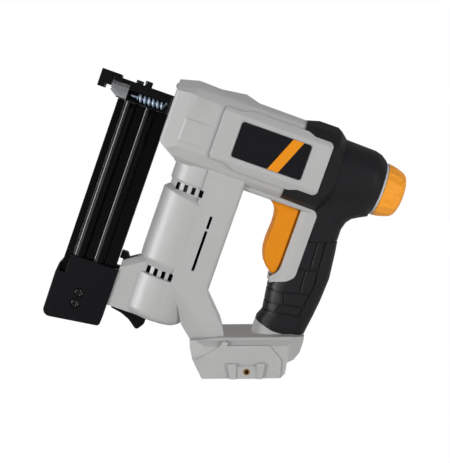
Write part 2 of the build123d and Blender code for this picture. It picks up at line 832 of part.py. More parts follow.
# Nose.
def blade_way(front, rear):
    """The flat way that the driver blade runs in."""
    return bar((front, -CHANNEL_HALF, BLADE_LEVEL - 1.1), (rear, CHANNEL_HALF, BLADE_LEVEL + 1.1))


def nose_nodes():
    """Nose block, die-cast guide, contact foot with its spring, and the two nose screws."""
    narrow = GUIDE_HALF - 3.6
    block = bar((GUIDE_REAR, -13.4, NOSE_FOOT), (NOSE_REAR, 13.4, NOSE_PLATE))
    block += bar((NOSE_FRONT, -narrow, NOSE_FOOT), (GUIDE_REAR, narrow, NOSE_PLATE))
    plate = plan_prism(
        [
            (NOSE_FRONT, NOSE_HALF, 2),
            (HEAD_FRONT, NOSE_HALF),
            (HEAD_FRONT, -NOSE_HALF),
            (NOSE_FRONT, -NOSE_HALF, 2),
        ],
        NOSE_PLATE,
        NOSE_TOP,
    )
    flange = bar((NOSE_REAR, -17, NOSE_FOOT), (HEAD_FRONT, 17, NOSE_PLATE))
    channel = blade_way(NOSE_FRONT - 1, HEAD_FRONT + 1)
    strips = both_sides(bar((GUIDE_FRONT, CONTACT_HALF + GAP, 12.2), (NOSE_FRONT + 2, NOSE_HALF, NOSE_TOP)))
    throat = bar((-80, -CHANNEL_HALF, NOSE_FOOT - 1), (-47.5, CHANNEL_HALF, BLADE_LEVEL))
    rail_seat = bar((-47.0, -RAIL_HEAD_HALF, NOSE_FOOT - 1), (-43.8, RAIL_HEAD_HALF, 4))
    tongue_slot = bar((NOSE_FRONT - 1, -TONGUE_HALF - 0.3, 10.6), (TAB_STOP, TONGUE_HALF + 0.3, NOSE_PLATE))
    tab_slot = bar((TAB_FRONT - GAP, -6.3, 3.2), (TAB_STOP, -TONGUE_HALF + 0.8, NOSE_PLATE))
    spring_pocket = bar((TAB_FRONT - GAP, -NOSE_HALF, 1.0), (SIDE_SPRING[1], -6.0, 8.4))
    screw_places = [(-71.5, -8.4, 18.3), (-65.0, 8.4, 20.3)]
    screws = []
    holes = []
    for x, y, top in screw_places:
        head = rod_z(3.15, NOSE_TOP, top, x, y, flats=SHAFT_FLATS)
        screws.append(head + rod_z(1.6, 9.6, NOSE_TOP, x, y, flats=SCREW_FLATS))
        holes.append(rod_z(1.6 + FIT, 9.2, NOSE_TOP + 1, x, y, flats=SCREW_FLATS))
    block = block + plate + flange + strips
    block = block.cut(channel, throat, rail_seat, tongue_slot, tab_slot, spring_pocket, *holes)
    guide = side_prism(
        [(GUIDE_FRONT, 12.2), (GUIDE_REAR, 12.2), (GUIDE_REAR, 0.2), (-87.3, 0.4), (GUIDE_FRONT, 4)],
        -GUIDE_HALF,
        GUIDE_HALF,
    )
    top_bevel = beyond((-85, -GUIDE_HALF, 9.3), (1, 0, 0), (0, -0.86, 0.5))
    guide = guide - both_sides(top_bevel)
    guide = guide.cut(
        bar((NOSE_FRONT, -narrow, -1), (GUIDE_REAR + 1, narrow, 14)),
        blade_way(GUIDE_FRONT - 1, NOSE_FRONT + 1),
        bar((GUIDE_FRONT - 1, -TONGUE_HALF - 0.3, 10.6), (NOSE_FRONT + 1, TONGUE_HALF + 0.3, 13)),
        both_sides(bar((GUIDE_FRONT - 1, 4.6, 6.6), (-87.6, CONTACT_HALF + GAP, 13))),
    )
    pin = rod_x(0.8, TAB_FRONT + TAB_LENGTH, -58, *SIDE_SPRING_AT, flats=SCREW_FLATS)
    pin += rod_x(2.2, -69.8, -69.0, *SIDE_SPRING_AT, flats=SCREW_FLATS)
    return {
        "nose_block": block,
        "nose_screws": Compound(screws),
        "nose_guide": guide,
        "contact_foot": contact_foot(),
        "contact_pin": pin,
        "contact_spring": coil_x(*SIDE_SPRING, SIDE_SPRING_AT, *SIDE_SPRING_WIND),
    }


def contact_foot():
    """The L-shaped contact foot: its side webs, its tongue under the nose plate and the tab at the spring."""
    foot = side_prism(
        [(-103.8, 18), (-87.2, 18), (-87.2, 15.9), (-98.2, 15.9), (-98.2, 3.5), (-103.8, 3.5)],
        -CONTACT_HALF,
        CONTACT_HALF,
    )
    webs = both_sides(bar((-98.4, 5.0, 7.0), (-93.0, CONTACT_HALF, 16.2)))
    tongue = bar((-99, -TONGUE_HALF, 10.9), (TAB_FRONT + TAB_LENGTH, TONGUE_HALF, 12.7))
    tab = bar((TAB_FRONT, -6.0, 3.6), (TAB_FRONT + TAB_LENGTH, -TONGUE_HALF + 0.5, 12.7))
    tab += bar((TAB_FRONT, -12.2, 3.6), (TAB_FRONT + TAB_LENGTH, -5.0, 5.8))
    window = bar((-105, -4, 5.5), (-97, 4, 10.5))
    return foot + webs + tongue + tab - window


# Magazine.
def magazine_section():
    """The magazine's outside in plan: a flat box with two half-round tubes on each side."""
    middle = (MAGAZINE_FRONT + MAGAZINE_REAR) / 2
    face = Pos(middle, 0) * Rectangle(MAGAZINE_REAR - MAGAZINE_FRONT, 2 * MAGAZINE_HALF)
    for x in TUBE_AT:
        for side in (-1, 1):
            face += Pos(x, side * TUBE_OFFSET) * disc(TUBE_RADIUS, TUBE_FLATS)
    return face


def magazine_nodes():
    """The sliding magazine, its end block and screws, the pusher with its ribbon spring, the fixed rail."""
    body = extrude(Plane.XY.offset(MAGAZINE_END) * magazine_section(), amount=MAGAZINE_TOP - MAGAZINE_END)
    low = MAGAZINE_END - 1
    cuts = [
        bar((-80.4, -CHANNEL_HALF, low), (-47.6, CHANNEL_HALF, 0)),
        bar((-47.7, -RAIL_HEAD_HALF - GAP, low), (-43.4, RAIL_HEAD_HALF + GAP, 0)),
        bar((-44, -RAIL_WEB_HALF - GAP, low), (-41, RAIL_WEB_HALF + GAP, 0)),
    ]
    for x in TUBE_AT:
        cuts.append(rod_y(2.0, 8, 16, x + 1.1, -3.2, flats=SHAFT_FLATS))
        cuts.append(rod_y(2.0, -16, -8, x + 1.1, -3.2, flats=SHAFT_FLATS))
    block = side_prism(
        [
            (-86.0, -142.4),
            (-84.8, -142.4),
            (-84.3, -149),
            (-79, -149),
            (-79, BLOCK_TOP),
            (-38.7, BLOCK_TOP),
            (-38.7, -182.2, 3),
            (-86.6, -188.6, 6),
            (-87.0, -151, 6),
        ],
        -BLOCK_HALF,
        BLOCK_HALF,
    )
    seat = extrude(Plane.XY.offset(MAGAZINE_END) * magazine_section(), amount=30)
    hollow = bar((-82, -12, -179), (-43, 12, MAGAZINE_END))
    rail_way = bar((-47.7, -RAIL_HEAD_HALF - GAP, -160), (-38, RAIL_HEAD_HALF + GAP, -130))
    screw_places = [(-62.8, -161.2), (-63.0, -170.7)]
    screws = []
    holes = []
    for x, z in screw_places:
        screws.append(rod_y(4.0, -BLOCK_HALF, -12, x, z, flats=SHAFT_FLATS))
        holes.append(rod_y(4.0 + FIT, -BLOCK_HALF - 1, -11, x, z, flats=SHAFT_FLATS))
    ribbon = rod_y(5.0, -2.5, 2.5, -72, -158, flats=SHAFT_FLATS) + bar((-77.0, -2.5, -158), (-76.4, 2.5, -14))
    pusher = bar((-76.2, -2.9, -20), (-49, 2.9, -8)) + bar((-80, -2.9, -13), (-76.2, 2.9, -8))
    rail = bar((-46.9, -RAIL_HEAD_HALF, -128), (-43.9, RAIL_HEAD_HALF, 3.9))
    rail += bar((-43.9, -RAIL_WEB_HALF, -128), (-41.8, RAIL_WEB_HALF, -0.8))
    return {
        "magazine": body.cut(*cuts),
        "magazine_end_block": block.cut(seat, hollow, rail_way, *holes),
        "end_block_screws": Compound(screws),
        "feed_spring": ribbon,
        "pusher": pusher,
        "magazine_rail": rail,
    }


def latch_nodes():
    """The magazine latch lever, its pin and the spring behind it."""
    lever = side_prism(
        [
            (-41.1, -118.3),
            (-36.0, -118.3),
            (-33.0, -122.5, 2),
            (-31.6, -149),
            (-27.0, -153, 2),
            (-26.8, -165.4),
            (-3.9, -165.6),
            (-4.2, -171.0, 5),
            (-8.8, -177.8, 2.6),
            (-17.4, -171.2, 10),
            (-25.3, -168.0, 8),
            (-34.6, -166.4),
            (-35.0, -150),
            (-37.2, -124.5),
            (-41.1, -124.5),
        ],
        -LATCH_HALF,
        LATCH_HALF,
    )
    lever -= rod_y(LATCH_PIN + FIT, -LATCH_HALF - 1, LATCH_HALF + 1, *LATCH_PIVOT)
    return {
        "latch_lever": lever,
        "latch_pin": rod_y(LATCH_PIN, -LATCH_PIN_HALF, LATCH_PIN_HALF, *LATCH_PIVOT),
        "latch_spring": rod_x(2.2, -31.6, -25.9, z=-138, flats=SCREW_FLATS),
    }


# Drive.
def tooth_points(module, teeth, angle):
    """Corners of one involute tooth, centred on an angle in degrees, from one root to the other."""
    pitch = module * teeth / 2
    pressure = math.radians(PRESSURE_ANGLE)
    base = pitch * math.cos(pressure)
    root = pitch - DEDENDUM * module
    tip = pitch + ADDENDUM * module
    half_pitch_angle = math.pi / (2 * teeth) - BACKLASH / (4 * pitch)
    start = max(base, root)
    flank = []
    for step in range(3):
        radius = start + (tip - start) * step / 2
        roll = math.acos(min(1.0, base / radius))
        spread = half_pitch_angle + (math.tan(pressure) - pressure) - (math.tan(roll) - roll)
        flank.append((radius, spread))
    flank.insert(0, (root, flank[0][1]))
    centre = math.radians(angle)
    rising = [(r * math.cos(centre - s), r * math.sin(centre - s)) for r, s in flank]
    falling = [(r * math.cos(centre + s), r * math.sin(centre + s)) for r, s in reversed(flank)]
    return rising + falling


def toothed_wheel(module, teeth, angles, levels, place):
    """A spur wheel with teeth at the given angles, standing on its own shaft place."""
    points = [point for angle in angles for point in tooth_points(module, teeth, angle)]
    outer = Polyline(*points)
    first, last = points[0], points[-1]
    root = module * (teeth / 2 - DEDENDUM)
    middle = math.radians((angles[-1] + angles[0] + 360) / 2)
    back = ThreePointArc(last, (root * math.cos(middle), root * math.sin(middle)), first)
    face = make_face([*outer.edges(), back])
    return Pos(*place, 0) * extrude(Plane.XY.offset(levels[0]) * face, amount=levels[1] - levels[0])


LIFTER_PITCH = LIFTER_MODULE * LIFTER_TEETH / 2
GEAR_DISTANCE = GEAR_MODULE * (PINION_TEETH + GEAR_TEETH) / 2
LIFTER_AT = (
    GEAR_DISTANCE * math.cos(math.radians(GEAR_LINE)),
    GEAR_DISTANCE * math.sin(math.radians(GEAR_LINE)),
)
RACK_PITCH = math.pi * LIFTER_MODULE
RACK_LINE = LIFTER_AT[1] + LIFTER_PITCH


def gear_nodes():
    """Output shaft with its pinion, lifter shaft with its wheel and sector, the frame and its bearing."""
    pinion_angles = [GEAR_LINE + 360 / PINION_TEETH * i for i in range(PINION_TEETH)]
    pinion = toothed_wheel(GEAR_MODULE, PINION_TEETH, pinion_angles, GEAR_LEVELS, (0, 0))
    carrier = extrude(Plane.XY.offset(-47) * RegularPolygon(14, 3), amount=3)
    output = pinion + rod_z(OUTPUT_SHAFT, -44, GEAR_LEVELS[0], flats=SHAFT_FLATS) + carrier
    wheel_angles = [GEAR_LINE + 180 + 360 / GEAR_TEETH * (i + 0.5) for i in range(GEAR_TEETH)]
    wheel = toothed_wheel(GEAR_MODULE, GEAR_TEETH, wheel_angles, GEAR_LEVELS, LIFTER_AT)
    sector_angles = [90 + 360 / LIFTER_TEETH * i for i in range(LIFTER_CUT_TEETH)]
    sector = toothed_wheel(LIFTER_MODULE, LIFTER_TEETH, sector_angles, LIFTER_LEVELS, LIFTER_AT)
    shaft = rod_z(SHAFT_RADIUS, GEAR_LEVELS[0], LIFTER_LEVELS[1], *LIFTER_AT, flats=SHAFT_FLATS)
    frame = bar((-24, -21, FRAME_LEVELS[0]), (31.4, 21, FRAME_LEVELS[1]))
    for x in (-18.9, 28.6):
        for y in (-13.0, 13.0):
            frame += bar((x - 2.2, y - 2.2, -29.6), (x + 2.2, y + 2.2, FRAME_LEVELS[0]))
    frame -= rod_z(8, FRAME_LEVELS[0] - 1, FRAME_LEVELS[1] + 1, *LIFTER_AT, flats=DRUM_FLATS)
    bearing = rod_z(8, *FRAME_LEVELS, *LIFTER_AT, flats=DRUM_FLATS)
    bearing -= rod_z(SHAFT_RADIUS + 3 * FIT, -30, 0, *LIFTER_AT, flats=SHAFT_FLATS)
    return {
        "output_pinion": output,
        "lifter_wheel": wheel + sector + shaft,
        "gear_frame": frame,
        "lifter_bearing": bearing,
    }


def rack_teeth():
    """The plunger's rack, its teeth facing the lifter wheel."""
    slope = math.tan(math.radians(PRESSURE_ANGLE))
    quarter = RACK_PITCH / 4 - BACKLASH / 4
    tip = ADDENDUM * LIFTER_MODULE
    root = DEDENDUM * LIFTER_MODULE
    low, high = LIFTER_LEVELS[0] + 0.5, LIFTER_LEVELS[1] - 0.5
    teeth = []
    for i in range(LIFTER_CUT_TEETH):
        x = LIFTER_AT[0] + RACK_PITCH * (0.5 - i)
        teeth.append(
            plan_prism(
                [
                    (x - quarter - root * slope, RACK_LINE + root + 0.3),
                    (x - quarter + tip * slope, RACK_LINE - tip),
                    (x + quarter - tip * slope, RACK_LINE - tip),
                    (x + quarter + root * slope, RACK_LINE + root + 0.3),
                ],
                low,
                high,
            )
        )
    spine = bar((-36, RACK_LINE + root, low), (PLUNGER_FACE, RACK_BACK, high))
    return spine.fuse(*teeth)


def plunger_nodes():
    """Plunger with rack, driver blade, guide tube, bumper and drive spring."""
    piston = rod_x(PLUNGER_RADIUS, PLUNGER_FACE, PLUNGER_FACE + 6, flats=DRUM_FLATS)
    neck = bar((14, -7.5, -8), (PLUNGER_FACE, 7.5, 12.5))
    blade_slot = bar((13, -BLADE_HALF, BLADE_LEVEL - 0.8), (26, BLADE_HALF, BLADE_LEVEL + 0.8))
    blade = bar((GUIDE_FRONT + 0.5, -BLADE_HALF, BLADE_LEVEL - 0.8), (26, BLADE_HALF, BLADE_LEVEL + 0.8))
    tube = rod_x(BARREL_BORE - FIT, 32, 137.9, flats=DRUM_FLATS) - rod_x(TUBE_BORE, 30, 139, flats=DRUM_FLATS)
    bumper = rod_x(TUBE_BORE, 32, PLUNGER_FACE - GAP, flats=DRUM_FLATS) - bar((30, -8.2, -9), (40, 8.2, 13.2))
    bumper -= bar((30, RACK_LINE - 2.2, -17.2), (40, RACK_BACK + 0.7, -8.8))
    spring_span = (PLUNGER_FACE + 6 + GAP, SPRING_SEAT - GAP)
    return {
        "plunger": piston + neck + rack_teeth() - blade_slot,
        "driver_blade": blade,
        "guide_tube": tube,
        "bumper": bumper,
        "drive_spring": coil_x(*spring_span, (0, 0), SPRING_RADIUS, SPRING_WIRE, SPRING_TURNS),
    }


def motor_nodes():
    """Motor can, rotor, fan and gearbox case."""
    can = rod_z(MOTOR_RADIUS, MOTOR_FOOT, MOTOR_TOP, flats=DRUM_FLATS)
    can -= rod_z(MOTOR_RADIUS - 2, MOTOR_FOOT + 3, MOTOR_TOP - 3, flats=DRUM_FLATS)
    can -= rod_z(ROTOR_SHAFT + 3 * FIT, MOTOR_FOOT - 1, MOTOR_TOP + 1, flats=SHAFT_FLATS)
    rotor = rod_z(ROTOR_SHAFT, -131, -50, flats=SHAFT_FLATS)
    rotor += rod_z(15, MOTOR_FOOT + 9, MOTOR_TOP - 9, flats=DRUM_FLATS)
    backplate = rod_z(18.6, -130.5, -129, flats=DRUM_FLATS)
    backplate -= rod_z(ROTOR_SHAFT, -132, -123, flats=SHAFT_FLATS)
    blade = bar((5.5, -0.7, -129.2), (18.2, 0.7, -124))
    blades = [Rot(0, 0, 360 / FAN_BLADES * i) * blade for i in range(FAN_BLADES)]
    case = rod_z(COLUMN_BORE - FIT, MOTOR_TOP, -37, flats=DRUM_FLATS)
    case -= rod_z(16.5, MOTOR_TOP - 1, -40, flats=DRUM_FLATS)
    case -= rod_z(OUTPUT_SHAFT + 3 * FIT, -41, -36, flats=SHAFT_FLATS)
    return {
        "motor_can": can,
        "motor_rotor": rotor,
        "cooling_fan": backplate.fuse(*blades),
        "gearbox_case": case,
    }


# Battery foot fittings.
def battery_nodes():
    """Control board with its parts, the terminal block and its four contact blades."""
    board = bar((-10, -22, -179), (52, 22, -177.4))
    board += bar((0, -16, -177.5), (14, -2, -173)) + bar((22, 2, -177.5), (38, 14, -172.5))
    block = bar((14, -16, -188), (SLOT_END, 16, SLOT_CEILING))
    blades = [bar((2, y - 0.6, -187), (14, y + 0.6, SLOT_CEILING - 1)) for y in (-12.0, -4.0, 4.0, 12.0)]
    return {
        "control_board": level(board),
        "terminal_block": level(block),
        "battery_terminals": level(Compound(blades)),
    }


def all_nodes():
    """Every piece of the tool, by name, in the tool frame."""
    nodes = {}
    nodes.update(housing_nodes())
    nodes.update(panel_nodes())
    nodes.update(fastener_nodes())
    nodes.update(knob_nodes())
    nodes.update(trigger_nodes())
    nodes.update(nose_nodes())
    nodes.update(magazine_nodes())
    nodes.update(latch_nodes())
    nodes.update(gear_nodes())
    nodes.update(plunger_nodes())
    nodes.update(motor_nodes())
    nodes.update(battery_nodes())
    return nodes


PLACE = Pos(-FOOT_SHIFT, 0, FOOT_DROP) * Rot(0, TILT, 0)

os.makedirs("parts", exist_ok=True)
for name, shape in all_nodes().items():
    export_step(PLACE * shape, f"parts/{name}.step")
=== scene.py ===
"""Looks of a cordless stapler, built around its CAD frame: finishes, mouldings, fittings and a studio."""

import json
import logging
import math
from collections.abc import Iterable
from dataclasses import dataclass, field
from enum import Enum
from typing import Any

import bmesh
import bpy
from mathutils import Matrix, Vector


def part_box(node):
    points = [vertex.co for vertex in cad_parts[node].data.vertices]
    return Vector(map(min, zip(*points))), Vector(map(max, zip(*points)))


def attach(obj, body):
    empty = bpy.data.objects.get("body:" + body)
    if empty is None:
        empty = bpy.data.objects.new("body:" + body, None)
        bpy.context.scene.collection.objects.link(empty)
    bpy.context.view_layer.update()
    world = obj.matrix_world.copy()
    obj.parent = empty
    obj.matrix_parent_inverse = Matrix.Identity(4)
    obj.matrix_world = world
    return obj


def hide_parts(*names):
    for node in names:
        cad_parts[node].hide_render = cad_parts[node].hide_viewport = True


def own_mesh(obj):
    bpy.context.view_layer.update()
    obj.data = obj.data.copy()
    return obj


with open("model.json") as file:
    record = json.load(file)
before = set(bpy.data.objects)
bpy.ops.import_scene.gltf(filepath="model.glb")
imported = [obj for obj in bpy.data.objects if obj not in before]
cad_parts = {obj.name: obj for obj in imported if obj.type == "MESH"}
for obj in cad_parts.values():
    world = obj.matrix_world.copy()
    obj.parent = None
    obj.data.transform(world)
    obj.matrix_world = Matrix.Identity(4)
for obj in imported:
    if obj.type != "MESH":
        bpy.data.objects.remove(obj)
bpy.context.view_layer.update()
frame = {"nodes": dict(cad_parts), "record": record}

LOG = logging.getLogger("stapler")
MM = 0.001
ORIGIN = (0.0, 0.0, 0.0)
ALONG = (1.0, 0.0, 0.0)
UP = (0.0, 0.0, 1.0)
# An edge that turns further than this is a sharp one.
SHARP = math.radians(32)
# Facets that turn less than this against each other make one flat face.
FLAT = math.radians(0.6)
# Corners closer than this are one corner.
MERGE_MM = 0.002
# Places closer than this in one direction are level with each other.
LEVEL_MM = 1e-4

# The tool's own frame: x along the barrel towards the knob, z up across it, in millimetres.
# The barrel is tilted on the battery foot, whose underside is the world's floor.
BARREL_TILT = math.radians(19.4)
FOOT_SHIFT = 18.9
FOOT_DROP = 199.5
TOOL = (
    Matrix.Translation((-FOOT_SHIFT * MM, 0.0, FOOT_DROP * MM))
    @ Matrix.Rotation(BARREL_TILT, 4, "Y")
    @ Matrix.Scale(MM, 4)
)


class Body(str, Enum):
    """The bodies that pieces ride on."""

    TOOL = "tool_body"
    KNOB = "knob"
    TRIGGER = "trigger_arm"
    CONTACT = "contact"
    MAGAZINE = "magazine_slide_body"
    FEEDER = "feeder"
    LATCH = "latch"


class Drive(Enum):
    """The recess in a screw's head."""

    HEXAGON = "hexagon"
    CROSS = "cross"


# Finishes.
def linear(code: str) -> tuple[float, float, float, float]:
    """Turns an sRGB hex colour into linear values.

    Args:
        code: the colour as "#rrggbb".

    Returns:
        Linear red, green, blue and a full alpha.
    """
    parts = [int(code[i : i + 2], 16) / 255 for i in (1, 3, 5)]
    red, green, blue = (p / 12.92 if p <= 0.04045 else ((p + 0.055) / 1.055) ** 2.4 for p in parts)
    return red, green, blue, 1.0


def add_node(
    tree: bpy.types.NodeTree, kind: str, inputs: dict[str | int, Any], **settings: Any
) -> bpy.types.Node:
    """Adds one node with its settings, constants and links.

    Args:
        tree: the node tree.
        kind: the node's type.
        inputs: a constant or an output socket for each input that isn't left at its default.
        settings: attributes of the node itself.

    Returns:
        The node.
    """
    node = tree.nodes.new(kind)
    for key, value in settings.items():
        setattr(node, key, value)
    for key, value in inputs.items():
        if isinstance(value, bpy.types.NodeSocket):
            tree.links.new(value, node.inputs[key])
        else:
            node.inputs[key].default_value = value
    return node


def per_metre(size_mm: float) -> float:
    """The texture scale that gives a pattern of this size in millimetres."""
    return 1.0 / (size_mm * MM)


# The noise in every finish: how finely its patches and its grain are broken up, and the values it mostly has.
PATCH_DETAIL = 3.0
GRAIN_DETAIL = 2.0
GRAIN_LOW = 0.3
GRAIN_HIGH = 0.7
# How many samples the shading of an edge takes.
EDGE_SAMPLES = 4


@dataclass(frozen=True)
class Finish:
    """A surface with a fine grain, softly worn edges and a slow change of colour and gloss over it."""

    name: str
    colour: str
    patch_colour: str
    roughness: tuple[float, float]
    metallic: float = 0.0
    ior: float = 1.5
    specular: float = 0.5
    grain_mm: float = 0.9
    grain_height_mm: float = 0.02
    edge_mm: float = 0.4
    patch_mm: float = 14.0
    stretch: float = 1.0
    coat: float = 0.0
    transmission: float = 0.0

    def material(self) -> bpy.types.Material:
        """Makes the material once and hands it out again after that.

        Returns:
            The node material of this finish.
        """
        made = bpy.data.materials.get(self.name)
        if made is not None:
            return made
        made = bpy.data.materials.new(self.name)
        made.use_nodes = True
        tree = made.node_tree
        shader = tree.nodes["Principled BSDF"]
        place = add_node(tree, "ShaderNodeTexCoord", {}).outputs["Object"]
        run = add_node(
            tree,
            "ShaderNodeMapping",
            {"Vector": place, "Rotation": (0.0, -BARREL_TILT, 0.0), "Scale": (1.0, 1.0, 1.0 / self.stretch)},
        ).outputs["Vector"]
        patches = add_node(
            tree,
            "ShaderNodeTexNoise",
            {"Vector": run, "Scale": per_metre(self.patch_mm), "Detail": PATCH_DETAIL},
        ).outputs["Fac"]
        grain = add_node(
            tree,
            "ShaderNodeTexNoise",
            {"Vector": run, "Scale": per_metre(self.grain_mm), "Detail": GRAIN_DETAIL},
        ).outputs["Fac"]
        colour = add_node(
            tree,
            "ShaderNodeMix",
            {0: patches, 6: linear(self.colour), 7: linear(self.patch_colour)},
            data_type="RGBA",
        ).outputs[2]
        gloss = add_node(
            tree,
            "ShaderNodeMapRange",
            {
                "Value": grain,
                "From Min": GRAIN_LOW,
                "From Max": GRAIN_HIGH,
                "To Min": self.roughness[0],
                "To Max": self.roughness[1],
            },
        ).outputs["Result"]
        edges = add_node(
            tree, "ShaderNodeBevel", {"Radius": self.edge_mm * MM}, samples=EDGE_SAMPLES
        ).outputs["Normal"]
        bump = add_node(
            tree,
            "ShaderNodeBump",
            {"Height": grain, "Strength": 1.0, "Distance": self.grain_height_mm * MM, "Normal": edges},
        ).outputs["Normal"]
        tree.links.new(colour, shader.inputs["Base Color"])
        tree.links.new(gloss, shader.inputs["Roughness"])
        tree.links.new(bump, shader.inputs["Normal"])
        shader.inputs["Metallic"].default_value = self.metallic
        if self.metallic < 1.0:
            shader.inputs["IOR"].default_value = self.ior
            shader.inputs["Specular IOR Level"].default_value = self.specular
        shader.inputs["Coat Weight"].default_value = self.coat
        shader.inputs["Transmission Weight"].default_value = self.transmission
        return made


# ABS from a spark-eroded mould: a pale neutral grey with a soft, even gloss and a fine leathery grain.
# The grain of a real moulding is about 0.3 mm. It is drawn three times as coarse, or it wouldn't show,
# and the grain of the other finishes is drawn coarse for the same reason.
GREY_ABS = Finish("abs_moulded_grey", "#bababa", "#b3b3b2", (0.42, 0.54), specular=0.3)
# ABS with the colour right through: a deep, warm orange with little gleam.
ORANGE_ABS = Finish("abs_moulded_orange", "#ea901a", "#e38915", (0.40, 0.52), specular=0.15)
# The knob's orange: the same ABS painted a shade lighter as painted light, since the knob stands brighter in
# the light than the trigger. It is also glossier, from a smoother mould.
KNOB_ABS_PAINTED_LIT = Finish("abs_knob_orange_painted_lit", "#ffa936", "#faa22f", (0.34, 0.44), specular=0.2)
# The same resin in a cooler grey, with the gloss of a polished mould.
RING_ABS = Finish("abs_ring_grey", "#c6cad1", "#bdc2c9", (0.32, 0.42))
# Thermoplastic elastomer moulded over the ABS: a charcoal with a broad, dull gleam and a coarser grain.
BLACK_TPE = Finish(
    "tpe_overmould_black",
    "#19191c",
    "#161619",
    (0.44, 0.56),
    specular=0.24,
    grain_mm=1.1,
    grain_height_mm=0.03,
)
# Extruded aluminium, black anodised: deep black with long clean highlights and faint lines along it.
BLACK_EXTRUSION = Finish(
    "aluminium_anodised_black",
    "#060607",
    "#080809",
    (0.15, 0.21),
    specular=0.09,
    grain_mm=0.8,
    grain_height_mm=0.004,
    stretch=30.0,
)
# Steel with a black oxide skin: dark, slightly blue, with a satin gleam on the edges.
BLACK_STEEL = Finish("steel_black_oxide", "#060607", "#0a0a0c", (0.30, 0.42), specular=0.12, grain_mm=1.0)
# The same steel under a hard black lacquer, as on small machine screws: it sparkles where its rim turns.
LACQUERED_STEEL = Finish(
    "steel_black_lacquer", "#050506", "#070708", (0.16, 0.22), specular=0.3, grain_height_mm=0.004
)
# Glass-filled nylon: the end block's blue black, a little rough from the glass near its surface.
BLACK_NYLON = Finish(
    "nylon_glass_filled_black",
    "#0b0c10",
    "#0e0f13",
    (0.36, 0.50),
    specular=0.10,
    grain_mm=0.8,
    grain_height_mm=0.03,
)
# Zinc die casting: mid grey metal, mottled where the melt chilled on the die.
ZINC_CAST = Finish(
    "zinc_die_cast",
    "#a0a1a3",
    "#8d8e90",
    (0.34, 0.52),
    metallic=1.0,
    grain_mm=1.6,
    grain_height_mm=0.04,
    patch_mm=5.0,
)
# Printed polyester film: a flat charcoal face under a thin clear layer.
BLACK_FILM = Finish(
    "polyester_film_black", "#17161a", "#1a191d", (0.34, 0.40), specular=0.1, grain_height_mm=0.004
)
# The same film printed orange: a clean, even colour.
ORANGE_FILM = Finish(
    "polyester_film_orange", "#f0951a", "#ec9117", (0.34, 0.40), specular=0.2, grain_height_mm=0.004
)
# Polycarbonate lamp lens: clear, with a milky body behind a smooth dome.
CLEAR_LENS = Finish("polycarbonate_clear", "#e8ecef", "#dfe5ea", (0.06, 0.10), ior=1.58, transmission=0.6)
# Turned brass: warm yellow metal with a slightly uneven gloss.
TURNED_BRASS = Finish("brass_turned", "#b58f4b", "#a98240", (0.26, 0.38), metallic=1.0, grain_mm=0.6)
# Ground and hardened steel: bright, cool grey, with fine lines from the wheel.
GROUND_STEEL = Finish(
    "steel_ground", "#a3a6aa", "#95989c", (0.22, 0.34), metallic=1.0, grain_mm=0.7, stretch=8.0
)
# Zinc-plated spring wire: its chalky blue passivation hides half of the metal's gleam.
PLATED_WIRE = Finish("steel_zinc_plated", "#a3b2c4", "#93a3b7", (0.40, 0.52), metallic=0.4, grain_mm=0.8)
# Machined aluminium inside the drive: light grey metal with a satin gloss.
MACHINED_ALLOY = Finish("aluminium_machined", "#9b9da0", "#8e9093", (0.30, 0.42), metallic=1.0)
# Acetal inside the drive: waxy, almost white.
ACETAL = Finish("acetal_natural", "#cfcdc4", "#c6c4bb", (0.42, 0.52))
# Glass-epoxy laminate with a green lacquer: dark green and shiny.
GREEN_LAMINATE = Finish("epoxy_laminate_green", "#1f5a38", "#1a4f31", (0.28, 0.40), coat=0.3)
# Nitrile rubber of the bumper: dull black.
NITRILE = Finish("nitrile_rubber", "#1a1a1a", "#161616", (0.65, 0.80), grain_height_mm=0.04)

# The finish of each of the record's material slots.
SLOT_FINISH: dict[str, Finish] = {
    "housing_grey": GREY_ABS,
    "grip_black": BLACK_TPE,
    "accent_orange": ORANGE_ABS,
    "ring_grey": RING_ABS,
    "nose_black": BLACK_STEEL,
    "magazine_black": BLACK_EXTRUSION,
    "block_black": BLACK_NYLON,
    "guide_cast": ZINC_CAST,
    "label_black": BLACK_FILM,
    "lens_clear": CLEAR_LENS,
    "insert_brass": TURNED_BRASS,
    "screw_black": LACQUERED_STEEL,
    "steel": GROUND_STEEL,
    "inner_alloy": MACHINED_ALLOY,
    "inner_plastic": ACETAL,
    "board_green": GREEN_LAMINATE,
    "bumper_rubber": NITRILE,
}


# Meshes.
def merged_copy(node: str) -> bmesh.types.BMesh:
    """Copies a CAD node's loose triangles into one closed mesh with its flat faces joined up.

    Args:
        node: the node's name.

    Returns:
        The mesh, in metres, where the node is.
    """
    mesh = bmesh.new()
    mesh.from_mesh(frame["nodes"][node].data)
    bmesh.ops.remove_doubles(mesh, verts=mesh.verts, dist=MERGE_MM * MM)
    bmesh.ops.dissolve_limit(
        mesh, angle_limit=FLAT, verts=mesh.verts, edges=mesh.edges, use_dissolve_boundaries=False
    )
    return mesh


def tool_copy(node: str) -> bmesh.types.BMesh:
    """Copies a CAD node into one closed mesh in the tool's own frame.

    Args:
        node: the node's name.

    Returns:
        The mesh, in millimetres.
    """
    mesh = merged_copy(node)
    bmesh.ops.transform(mesh, matrix=TOOL.inverted(), verts=mesh.verts)
    return mesh


